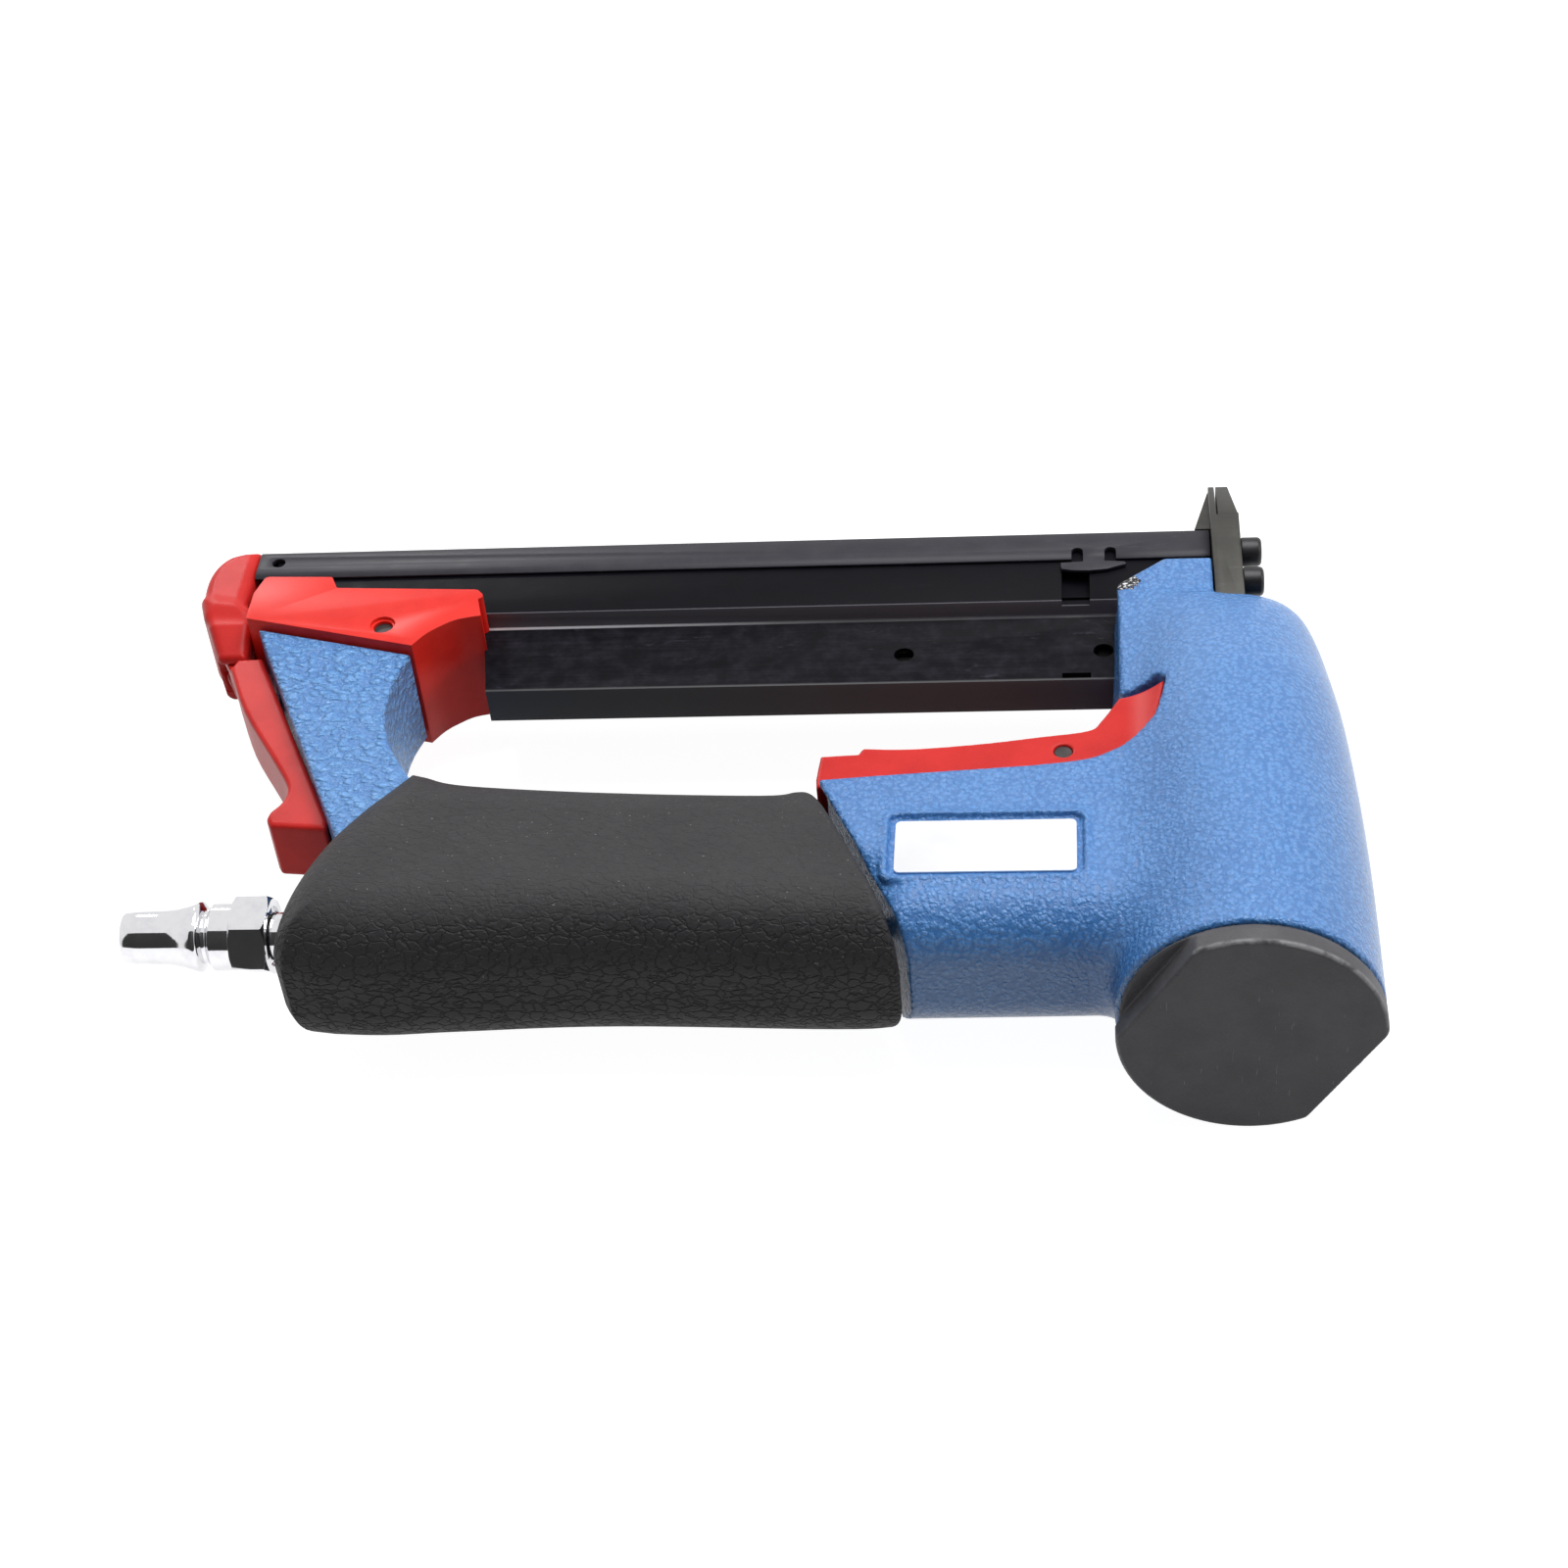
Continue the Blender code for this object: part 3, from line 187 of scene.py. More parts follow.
class Shade:
    """Node tree of one material, built from short expressions."""

    def __init__(self, name: str) -> None:
        """Make an empty material with a Principled shader.

        Args:
            name: Material name.
        """
        self.material = bpy.data.materials.new(name)
        self.material.use_nodes = True
        self.tree = self.material.node_tree
        self.shader = self.tree.nodes["Principled BSDF"]
        self.where = self.node("ShaderNodeTexCoord").outputs["Object"]

    def node(self, kind: str, settings: dict | None = None, sockets: dict | None = None) -> bpy.types.Node:
        """Add one node.

        Args:
            kind: Blender's node type.
            settings: Node properties, set first.
            sockets: Input names or numbers with their value, Value or socket.

        Returns:
            The new node.
        """
        made = self.tree.nodes.new(kind)
        for name, value in (settings or {}).items():
            setattr(made, name, value)
        for key, value in (sockets or {}).items():
            self.feed(made.inputs[key], value)
        return made

    def feed(self, socket: bpy.types.NodeSocket, value: object) -> None:
        """Link or set one input.

        Args:
            socket: Input to feed.
            value: Value or socket to link, or a number or tuple to set.
        """
        source = value.socket if isinstance(value, Value) else value
        if isinstance(source, bpy.types.NodeSocket):
            self.tree.links.new(source, socket)
        elif isinstance(source, tuple) and socket.type == "RGBA":
            socket.default_value = (*source, 1.0)
        else:
            socket.default_value = source

    def spread(self, cell: float, stretch: Place) -> bpy.types.NodeSocket:
        """Return the place on the piece, counted in cells of the given size in mm."""
        sockets = {0: self.where, 1: tuple(part / (cell * MM) for part in stretch)}
        return self.node("ShaderNodeVectorMath", {"operation": "MULTIPLY"}, sockets).outputs[0]

    def noise(
        self,
        cell: float,
        detail: float = 2.0,
        rough: float = 0.5,
        stretch: Place = EVEN,
        twist: float = 0.0,
    ) -> Value:
        """Return cloudy noise.

        Args:
            cell: Size of one cloud in mm.
            detail: Octaves of finer noise.
            rough: Weight of the finer noise.
            stretch: Cells per size along each axis.
            twist: Distortion.

        Returns:
            A value about 0.5.
        """
        sockets = {"Vector": self.spread(cell, stretch), "Scale": 1.0, "Detail": detail}
        sockets |= {"Roughness": rough, "Distortion": twist}
        return Value(self, self.node("ShaderNodeTexNoise", None, sockets).outputs[0])

    def cells(self, cell: float, stretch: Place, wobble: float, feature: str) -> Value:
        """Return the distance inside wobbly cells.

        Args:
            cell: Size of one cell in mm.
            stretch: Cells per size along each axis.
            wobble: How far noise bends the cells, in cells.
            feature: Voronoi feature, such as DISTANCE_TO_EDGE.

        Returns:
            The distance, in cells.
        """
        at = self.spread(cell, stretch)
        cloud = {"Vector": at, "Scale": 0.9, "Detail": 2.0}
        drift = self.node("ShaderNodeTexNoise", None, cloud).outputs["Color"]
        sockets = {0: drift, 1: (wobble,) * 3, 2: at}
        bent = self.node("ShaderNodeVectorMath", {"operation": "MULTIPLY_ADD"}, sockets).outputs[0]
        node = self.node("ShaderNodeTexVoronoi", {"feature": feature}, {"Vector": bent, "Scale": 1.0})
        return Value(self, node.outputs["Distance"])

    def near(self, place: Place, reach: float) -> Value:
        """Return a spot that is 1 in its middle and falls to 0.

        Args:
            place: Middle of the spot, in tool mm.
            reach: Radius at which it is 0, in mm.

        Returns:
            The spot's strength.
        """
        at = tuple((np.array(place) + TOOL_AT) * MM)
        node = self.node("ShaderNodeVectorMath", {"operation": "DISTANCE"}, {0: self.where, 1: at})
        return 1.0 - Value(self, node.outputs["Value"]).step(0.0, reach * MM)

    def along(self, axis: str) -> Value:
        """Return the place along one axis, in tool mm."""
        part = self.node("ShaderNodeSeparateXYZ", None, {0: self.where}).outputs[axis]
        return Value(self, part) * (1.0 / MM) - float(TOOL_AT["XYZ".index(axis)])

    def off_head_axis(self) -> Value:
        """Return the distance from the head's axis, in mm."""
        x, z = self.along("X"), self.along("Z")
        return (x * x + z * z) ** 0.5

    def mix(self, factor: Term, first: object, second: object) -> bpy.types.NodeSocket:
        """Blend two colours."""
        sockets = {0: factor, 6: first, 7: second}
        return self.node("ShaderNodeMix", {"data_type": "RGBA"}, sockets).outputs[2]

    def bump(self, height: Value, depth: float, strength: float = 1.0) -> None:
        """Feed a height into the shader's normal, its depth in mm."""
        sockets = {"Height": height, "Distance": depth * MM, "Strength": strength}
        self.feed(self.shader.inputs["Normal"], self.node("ShaderNodeBump", None, sockets).outputs[0])

    def set(self, **sockets: object) -> None:
        """Set shader inputs, named with underscores for spaces."""
        for name, value in sockets.items():
            self.feed(self.shader.inputs[name.replace("_", " ")], value)


# Finishes

CHIP_DARK: Colour = (0.012, 0.012, 0.014)
CHIP_BRIGHT: Colour = (0.66, 0.66, 0.68)
DUST: Colour = (0.3, 0.29, 0.28)
RUBBED_GREY: Colour = (0.42, 0.42, 0.43)
# Painted highlight on the rail's shoulder
PALE_HIGHLIGHT: Colour = (0.7, 0.7, 0.74)
# Painted light on the rail's ledge
LEDGE_LIGHT_GREY: Colour = (0.14, 0.135, 0.15)
# Painted light on the rib's lowest face
FOOT_LIGHT_GREY: Colour = (0.1, 0.1, 0.104)
# Painted shade in the rib's holes
HOLE_SHADE_BLACK: Colour = (0.002, 0.002, 0.002)


@dataclass(frozen=True)
class Finish:
    """One finish of the tool, made into a material once."""

    name: str
    slot: Slot

    def build(self, shade: Shade) -> None:
        """Fill the shade with this finish's nodes."""
        raise NotImplementedError

    def material(self) -> bpy.types.Material:
        """Return the material, made on first use.

        Returns:
            The material.
        """
        made = bpy.data.materials.get(self.name)
        if made is None:
            shade = Shade(self.name)
            self.build(shade)
            made = shade.material
        return made


@dataclass(frozen=True)
class HammeredPaint(Finish):
    """Enamel with a hammered grain, and a chip at the nose block's corner."""

    light: Colour
    deep: Colour
    grain: float
    depth: float
    stretch: Place
    chip_at: Place
    chip_reach: float = 4.6

    def build(self, shade: Shade) -> None:
        """Lay grain, colour drift and the chip.

        Args:
            shade: Node tree to fill.
        """
        fine = shade.noise(self.grain, 2.0, 0.55, self.stretch, 0.7)
        dents = 1.0 - shade.cells(self.grain * 2.8, self.stretch, 1.3, "F1").step(0.1, 0.8)
        drift = shade.noise(26.0, 2.0)
        tone = (fine * 0.5 + dents * 0.4 + drift * 0.3).step(0.2, 1.0)
        colour = shade.mix(tone, self.deep, self.light)
        ragged = shade.near(self.chip_at, self.chip_reach) + (shade.noise(1.1, 3.0, 0.6) - 0.5) * 1.1
        chip = ragged.step(0.42, 0.52)
        bare = shade.mix(shade.noise(0.6).step(0.5, 0.62), CHIP_DARK, CHIP_BRIGHT)
        shade.set(Base_Color=shade.mix(chip, colour, bare), Metallic=chip * 0.6)
        shade.set(Roughness=0.12 + fine * 0.12, Specular_IOR_Level=0.5)
        shade.bump(fine * 0.6 + dents * 0.7 - chip * 1.2, self.depth)


@dataclass(frozen=True)
class GrainedRubber(Finish):
    """Soft black rubber moulded with a leather grain."""

    light: Colour
    deep: Colour
    grain: float

    def build(self, shade: Shade) -> None:
        """Lay creased cells with painted shade in the creases, dust and worn high spots.

        Args:
            shade: Node tree to fill.
        """
        crease = shade.cells(self.grain, LEATHER, 1.5, "DISTANCE_TO_EDGE")
        high = shade.along("Z")
        flat = (high * high).step(120.0, 215.0)
        cut = (1.0 - crease.step(0.0, 0.13)) * (1.0 - flat * 0.85)
        fold = shade.noise(self.grain * 0.6, 2.0, 0.6, LEATHER, 1.0)
        fine = shade.noise(0.35, 2.0)
        drift = shade.noise(14.0, 2.0)
        # Painted shade: the creases are darker in colour
        tone = (fold * 0.35 + drift * 0.4 + fine * 0.25 - cut * 0.3).step(0.15, 0.85)
        dust = shade.noise(0.7, 1.0).step(0.745, 0.775)
        colour = shade.mix(dust * 0.4, shade.mix(tone, self.deep, self.light), DUST)
        shade.set(Base_Color=colour, Roughness=0.58 + cut * 0.1, Specular_IOR_Level=0.26)
        shade.bump(fold * 0.45 + fine * 0.15 - cut * 0.9, 0.34)


@dataclass(frozen=True)
class MouldedPlastic(Finish):
    """Satin moulded plastic with faint flow marks and rubbed spots."""

    light: Colour
    deep: Colour
    roughness: float
    grain: float
    depth: float

    def build(self, shade: Shade) -> None:
        """Lay colour drift, fine spark texture and rubbed spots.

        Args:
            shade: Node tree to fill.
        """
        drift = shade.noise(11.0, 3.0, 0.55)
        fine = shade.noise(self.grain, 2.0, 0.6)
        rubbed = shade.noise(3.2, 4.0, 0.7, (0.35, 1.0, 1.0)).step(0.58, 0.72)
        tone = (drift * 0.8 + fine * 0.3).step(0.32, 0.76)
        shade.set(Base_Color=shade.mix(tone, self.deep, self.light))
        shade.set(Roughness=self.roughness + (fine - 0.5) * 0.14 - rubbed * 0.05, Specular_IOR_Level=0.22)
        shade.bump(fine + drift * 0.4, self.depth, 0.6)


@dataclass(frozen=True)
class RubbedCap(Finish):
    """Matt black moulding, rubbed pale round its rim and scratched on its face."""

    light: Colour
    deep: Colour
    rim: float

    def build(self, shade: Shade) -> None:
        """Lay spark texture, the rubbed rim and a few scratches.

        Args:
            shade: Node tree to fill.
        """
        drift = shade.noise(9.0, 3.0, 0.55)
        fine = shade.noise(0.4, 2.0, 0.6)
        off = shade.off_head_axis()
        ring = off.step(self.rim - 0.75, self.rim - 0.35) * (1.0 - shade.along("Y").step(0.5, 1.1))
        worn = ring * shade.noise(2.2, 3.0, 0.6).step(0.3, 0.6)
        lines = shade.noise(0.5, 1.0, 0.5, (1.0, 1.0, 0.12)).step(0.745, 0.765)
        scratch = lines * (1.0 - shade.along("Y").step(0.1, 0.3))
        tone = (drift * 0.8 + fine * 0.35).step(0.34, 0.8)
        colour = shade.mix(tone, self.deep, self.light)
        colour = shade.mix((worn * 0.5).most(scratch * 0.3), colour, RUBBED_GREY)
        shade.set(Base_Color=colour, Roughness=0.56 + (fine - 0.5) * 0.16, Specular_IOR_Level=0.4)
        shade.bump(fine + drift * 0.4 - scratch * 0.8, 0.07)


@dataclass(frozen=True)
class BlackedSteel(Finish):
    """Blacked steel with rolling lines and rub marks, with painted shade over one band of heights and round
    its holes, and painted light below the band: a highlight, a lighter ledge and a lighter foot.
    """

    light: Colour
    deep: Colour
    roughness: float
    metal: float
    gloss: float
    # Heights of the band that is darkened as painted shade; the painted highlight and lighter ledge sit at its
    # lower edge
    shaded_heights: Span
    # Places of holes that are painted black as shade
    holes: tuple[Place, ...] = ()
    # Drops below the band between which the lighter painted foot fades out
    lit_foot_drop: Span = (19.6, 19.0)

    def build(self, shade: Shade) -> None:
        """Lay rolling lines, mottling, rub marks, and the painted shade and light at the band.

        Args:
            shade: Node tree to fill.
        """
        lines = shade.noise(0.5, 3.0, 0.6, (0.03, 1.0, 1.0))
        mottle = shade.noise(4.5, 4.0, 0.62)
        fine = shade.noise(0.22, 2.0)
        rub = shade.noise(2.4, 4.0, 0.7, (0.3, 1.0, 1.0)).step(0.6, 0.74)
        low, high = self.shaded_heights
        height = shade.along("Y")
        # Painted shade: the colour is darkened over the band
        band_shade = height.step(low, low + 0.4) * (1.0 - height.step(high - 1.2, high))
        tone = (lines * 0.2 + mottle * 0.55 + rub * 0.25).step(0.25, 0.85) * (1.0 - band_shade * 0.9)
        # Painted highlight: a pale line just below the band, stronger towards the rear
        edge_highlight = height.step(low - 1.0, low - 0.5) * (1.0 - height.step(low - 0.1, low + 0.1))
        edge_highlight = edge_highlight * (0.9 - shade.along("X").step(-140.0, -70.0) * 0.75)
        colour = shade.mix(edge_highlight, shade.mix(tone, self.deep, self.light), PALE_HIGHLIGHT)
        # Painted light: the ledge at the band's lower edge is made lighter
        ledge = height.step(low, low + 0.1) * (1.0 - height.step(low + 0.35, low + 0.5))
        colour = shade.mix(ledge, colour, LEDGE_LIGHT_GREY)
        # Painted light: whatever lies lower than the band by these drops, above zero height, is made lighter
        foot = 1.0 - height.step(low - self.lit_foot_drop[0], low - self.lit_foot_drop[1])
        colour = shade.mix(foot * height.step(0.0, 1.0), colour, FOOT_LIGHT_GREY)
        # Painted shade: the colour turns black in and round each hole
        for place in self.holes:
            colour = shade.mix(shade.near(place, 3.0).step(0.12, 0.3), colour, HOLE_SHADE_BLACK)
        shade.set(Base_Color=colour, Metallic=self.metal)
        shade.set(Roughness=self.roughness + (mottle - 0.5) * 0.2 + (lines - 0.5) * 0.1 - rub * 0.06)
        shade.set(Specular_IOR_Level=self.gloss)
        shade.bump(lines * 0.3 + fine * 0.5, 0.03, 0.5)


@dataclass(frozen=True)
class PolishedMetal(Finish):
    """Turned or plated metal with faint tool lines and stains."""

    light: Colour
    deep: Colour
    roughness: float
    line: Place

    def build(self, shade: Shade) -> None:
        """Lay tool lines and a thin film of stains.

        Args:
            shade: Node tree to fill.
        """
        lines = shade.noise(0.4, 2.0, 0.5, self.line)
        stain = shade.noise(3.0, 4.0, 0.6).step(0.4, 0.75)
        shade.set(Base_Color=shade.mix(stain, self.light, self.deep), Metallic=1.0)
        shade.set(Roughness=self.roughness + stain * 0.05 + (lines - 0.5) * 0.06)
        shade.bump(lines, 0.006, 0.4)


@dataclass(frozen=True)
class LabelFilm(Finish):
    """Bare white film with a faint sheen."""

    light: Colour
    deep: Colour

    def build(self, shade: Shade) -> None:
        """Lay a faint mottling on white film.

        Args:
            shade: Node tree to fill.
        """
        drift = shade.noise(9.0, 3.0)
        fine = shade.noise(0.3, 2.0)
        shade.set(Base_Color=shade.mix(drift.step(0.3, 0.7), self.deep, self.light))
        shade.set(Roughness=0.36 + (fine - 0.5) * 0.1)
        shade.bump(fine + drift, 0.01, 0.4)


CHIP_AT = (-18.8, 108.6, 12.6)
# Heights that no piece reaches, so a finish with them has no painted band of shade and no painted light below
# it
NO_SHADE_BAND = (-9.0, -6.0)
RIB_HOLES = tuple((x, 99.0, z) for x in (-62.3, -23.5) for z in (3.0, -3.0))

PAINT = HammeredPaint(
    "hammered_blue",
    Slot.PAINT,
    light=(0.104, 0.315, 0.71),
    deep=(0.036, 0.16, 0.45),
    grain=0.34,
    depth=0.22,
    stretch=EVEN,
    chip_at=CHIP_AT,
)
# Wrinkled paint of the strut in a paler copy of the blue: the wrinkles are real, the paler colour is painted
# light on the strut
WRINKLE_LIT = HammeredPaint(
    "wrinkled_blue_lit",
    Slot.PAINT,
    light=(0.2, 0.47, 0.92),
    deep=(0.085, 0.25, 0.61),
    grain=0.5,
    depth=0.8,
    stretch=DRAWN_OUT,
    chip_at=CHIP_AT,
)
RED = MouldedPlastic(
    "red_moulding",
    Slot.RED,
    light=(0.88, 0.034, 0.022),
    deep=(0.74, 0.02, 0.014),
    roughness=0.36,
    grain=0.3,
    depth=0.03,
)
# Darker copy of the red moulding, for the trigger, the slide's end cap and the latch lever; on the lever its
# darker red is painted shade
DARK_RED_AND_SHADE = MouldedPlastic(
    "dark_red_and_shade_moulding",
    Slot.RED,
    light=(0.66, 0.024, 0.02),
    deep=(0.53, 0.013, 0.011),
    roughness=0.4,
    grain=0.3,
    depth=0.04,
)
SEAL = MouldedPlastic(
    "seal_ring_rubber",
    Slot.SEAL,
    light=(0.03, 0.03, 0.03),
    deep=(0.014, 0.014, 0.014),
    roughness=0.6,
    grain=0.4,
    depth=0.03,
)
CAP = RubbedCap("cap_moulding", Slot.CAP, light=(0.094, 0.092, 0.1), deep=(0.052, 0.052, 0.058), rim=23.0)
GRIP = GrainedRubber(
    "grip_rubber_grain", Slot.GRIP, light=(0.038, 0.037, 0.039), deep=(0.017, 0.016, 0.018), grain=1.9
)
SHEATH_STEEL = BlackedSteel(
    "sheath_steel",
    Slot.BLACK,
    light=(0.052, 0.05, 0.061),
    deep=(0.026, 0.025, 0.033),
    roughness=0.42,
    metal=0.05,
    gloss=0.2,
    shaded_heights=NO_SHADE_BAND,
)
# Rail steel: painted shade over the band of heights and round the rib holes, and painted light below the band
RAIL_STEEL = BlackedSteel(
    "rail_steel",
    Slot.BLACK,
    light=(0.043, 0.041, 0.055),
    deep=(0.003, 0.003, 0.005),
    roughness=0.46,
    metal=0.0,
    gloss=0.05,
    shaded_heights=(110.1, 128.0),
    holes=RIB_HOLES,
)
NOSE_STEEL = BlackedSteel(
    "nose_steel",
    Slot.BLACK,
    light=(0.085, 0.083, 0.076),
    deep=(0.046, 0.045, 0.041),
    roughness=0.45,
    metal=0.5,
    gloss=0.25,
    shaded_heights=NO_SHADE_BAND,
)
SCREW_STEEL = BlackedSteel(
    "screw_steel",
    Slot.BLACK,
    light=(0.045, 0.043, 0.046),
    deep=(0.014, 0.014, 0.016),
    roughness=0.36,
    metal=0.3,
    gloss=0.35,
    shaded_heights=NO_SHADE_BAND,
)
DARK_PIN = BlackedSteel(
    "dark_pin",
    Slot.BRIGHT,
    light=(0.12, 0.1, 0.1),
    deep=(0.04, 0.035, 0.035),
    roughness=0.4,
    metal=0.5,
    gloss=0.3,
    shaded_heights=NO_SHADE_BAND,
)
STEEL = PolishedMetal(
    "bright_pin",
    Slot.BRIGHT,
    light=(0.5, 0.49, 0.5),
    deep=(0.26, 0.25, 0.26),
    roughness=0.3,
    line=(1.0, 1.0, 0.1),
)
CHROME = PolishedMetal(
    "plated_plug",
    Slot.CHROME,
    light=(0.76, 0.76, 0.78),
    deep=(0.68, 0.68, 0.71),
    roughness=0.05,
    line=(1.0, 0.05, 0.05),
)
ALLOY = PolishedMetal(
    "turned_alloy",
    Slot.ALLOY,
    light=(0.68, 0.69, 0.71),
    deep=(0.5, 0.5, 0.52),
    roughness=0.3,
    line=(0.05, 1.0, 0.05),
)
BRASS = PolishedMetal(
    "turned_brass",
    Slot.BRASS,
    light=(0.76, 0.58, 0.28),
    deep=(0.5, 0.36, 0.16),
    roughness=0.26,
    line=(1.0, 0.1, 0.1),
)
LABEL = LabelFilm("bare_label_film", Slot.LABEL, light=(0.9, 0.9, 0.9), deep=(0.86, 0.86, 0.87))

KEPT_NODES: dict[str, Finish] = {
    "bracket_pin": DARK_PIN,
    "latch_pin": DARK_PIN,
    "trigger_pin": DARK_PIN,
    "valve_stem": STEEL,
    "driver_blade": STEEL,
    "spring_guide_rod": DARK_PIN,
    "latch_spring": STEEL,
    "cylinder_sleeve": ALLOY,
    "piston": ALLOY,
    "head_valve": ALLOY,
    "inlet_bush": BRASS,
    "valve_bush": BRASS,
    "bumper": SEAL,
    "cap_seal": SEAL,
    "head_valve_seal": SEAL,
    "piston_seal": SEAL,
    "sleeve_lower_seal": SEAL,
    "sleeve_upper_seal": SEAL,
    "valve_bush_seal": SEAL,
    "pusher": RAIL_STEEL,
    # The core wears the rail's steel, so the band of painted shade darkens it inside the channel
    "slide_core": RAIL_STEEL,
}


# Outlines and distance shapes, in tool millimetres


def curve_through(points: Outline, per: int = 6) -> list[Point]:
    """Return points of a smooth open curve through the given ones.

    Args:
        points: Points on the curve.
        per: Steps between two of them.

    Returns:
        The finer points, ends included.
    """
    knots = [np.array(p) for p in (points[0], *points, points[-1])]
    made = []
    for a, b, c, d in zip(knots, knots[1:], knots[2:], knots[3:]):
        for i in range(per):
            t = i / per
            at = b + 0.5 * t * (c - a + t * (2 * a - 5 * b + 4 * c - d + t * (3 * (b - c) + d - a)))
            made.append(tuple(at))
    return made + [tuple(knots[-1])]


def rounded(corners: Corners, arc: int = 5) -> list[Point]:
    """Return an outline with rounded corners.

    Args:
        corners: Corners in turn, as (x, y, radius).
        arc: Steps of each arc.

    Returns:
        The outline's points.
    """
    made: list[Point] = []
    for i, (x, y, radius) in enumerate(corners):
        at = Vector((x, y))
        back = Vector(corners[i - 1][:2]) - at
        ahead = Vector(corners[(i + 1) % len(corners)][:2]) - at
        half = 0.5 * back.angle(ahead)
        reach = min(radius / math.tan(half), 0.49 * back.length, 0.49 * ahead.length)
        if reach < 1e-6:
            made.append((x, y))
            continue
        start = at + back.normalized() * reach
        end = at + ahead.normalized() * reach
        middle = at + (back.normalized() + ahead.normalized()).normalized() * (reach / math.cos(half))
        sweep = (start - middle).angle_signed(end - middle)
        for step in range(arc + 1):
            made.append(tuple(middle + Matrix.Rotation(-sweep * step / arc, 2) @ (start - middle)))
    return made


def turned_points(points: Outline, centre: Point, angle: float) -> list[Point]:
    """Turn points about a centre, by an angle in degrees."""
    turn = Matrix.Rotation(math.radians(angle), 2)
    return [tuple(Vector(centre) + turn @ (Vector(p) - Vector(centre))) for p in points]


def inside_outline(x: Array, y: Array, outline: Outline) -> Array:
    """Return the distance to a closed outline.

    Args:
        x: Places across, in tool mm.
        y: Places up, in tool mm.
        outline: The outline's points in turn.

    Returns:
        Signed distance, negative inside.
    """
    nearest = np.inf
    sign = 1.0
    for (ax, ay), (bx, by) in zip(outline, [*outline[1:], outline[0]]):
        ex, ey = bx - ax, by - ay
        wx, wy = x - ax, y - ay
        t = np.clip((wx * ex + wy * ey) / (ex * ex + ey * ey), 0.0, 1.0)
        nearest = np.minimum(nearest, (wx - ex * t) ** 2 + (wy - ey * t) ** 2)
        above, below, left = y >= ay, y < by, ex * wy > ey * wx
        sign = np.where((above & below & left) | ~(above | below | left), -sign, sign)
    return sign * np.sqrt(nearest)


def both(a: Array, b: Array, edge: float | Array = 0.0) -> Array:
    """Return what two shapes share.

    Args:
        a: Distance to the first shape.
        b: Distance to the second shape.
        edge: Radius of the edge where they meet.

    Returns:
        Signed distance, negative inside both.
    """
    if np.ndim(edge) == 0 and edge == 0.0:
        return np.maximum(a, b)
    corner = np.hypot(np.maximum(edge + a, 0.0), np.maximum(edge + b, 0.0))
    return np.minimum(-edge, np.maximum(a, b)) + corner


def blend(a: Array, b: Array, fillet: float) -> Array:
    """Return two shapes joined with a soft fillet."""
    share = np.clip(0.5 + 0.5 * (b - a) / fillet, 0.0, 1.0)
    return b + share * (a - b) - fillet * share * (1.0 - share)


def slab(x: Array, y: Array, z: Array, outline: Outline, half: float, edge: float | Array) -> Array:
    """Return a plate about the mid-plane, of an outline and half-thickness, its edges rounded."""
    return both(inside_outline(x, y, outline), np.abs(z) - half, edge)


def rod_along(u: Array, v: Array, centre: Point, radius: float) -> Array:
    """Return an endless rod across the plane of u and v."""
    return np.hypot(u - centre[0], v - centre[1]) - radius


def polygonise(shape: Shape, space: Space, step: float) -> tuple[Array, Array]:
    """Turn a distance shape into a closed mesh of quads.

    Args:
        shape: Signed distance in tool mm.
        space: Lowest and highest corner of the space to search.
        step: Grid size in mm.

    Returns:
        Points in tool mm and quads of their numbers.
    """
    low, high = space
    counts = [int(math.ceil((b - a) / step)) + 1 for a, b in zip(low, high)]
    axes = [a + step * np.arange(n, dtype=np.float32) for a, n in zip(low, counts)]
    grid = np.meshgrid(*axes, indexing="ij", sparse=True)
    values = np.ascontiguousarray(np.broadcast_to(shape(*grid), counts), np.float32)
    solid = values < 0.0
    corners = [(i, j, k) for i in (0, 1) for j in (0, 1) for k in (0, 1)]
    filled = np.zeros([n - 1 for n in counts], np.int8)
    for i, j, k in corners:
        filled += solid[i : counts[0] - 1 + i, j : counts[1] - 1 + j, k : counts[2] - 1 + k]
    mixed = (filled > 0) & (filled < 8)
    cells = np.argwhere(mixed)
    number = np.full(mixed.shape, -1, np.int32)
    number[mixed] = np.arange(len(cells))
    total = np.zeros((len(cells), 3))
    hits = np.zeros(len(cells))
    for corner in corners:
        for axis in (a for a in range(3) if corner[a] == 0):
            other = np.array(corner) + np.eye(3, dtype=int)[axis]
            first, second = values[tuple((cells + corner).T)], values[tuple((cells + other).T)]
            cross = (first < 0.0) != (second < 0.0)
            total[cross] += corner
            total[cross, axis] += (first / np.where(cross, first - second, 1.0))[cross]
            hits[cross] += 1
    points = np.array(low) + step * (cells + total / hits[:, None])
    quads = []
    for axis in range(3):
        u, v = (axis + 1) % 3, (axis + 2) % 3
        lower = np.moveaxis(np.moveaxis(solid, axis, 0)[:-1], 0, axis)
        upper = np.moveaxis(np.moveaxis(solid, axis, 0)[1:], 0, axis)
        edges = np.argwhere(lower != upper)
        ring = []
        for du, dv in ((-1, -1), (0, -1), (0, 0), (-1, 0)):
            cell = edges.copy()
            cell[:, u] += du
            cell[:, v] += dv
            ring.append(number[tuple(cell.T)])
        quad = np.stack(ring, 1)
        turn = ~lower[tuple(edges.T)]
        quad[turn] = quad[turn][:, ::-1]
        quads.append(quad)
    return settled(points, shape, step), np.concatenate(quads)


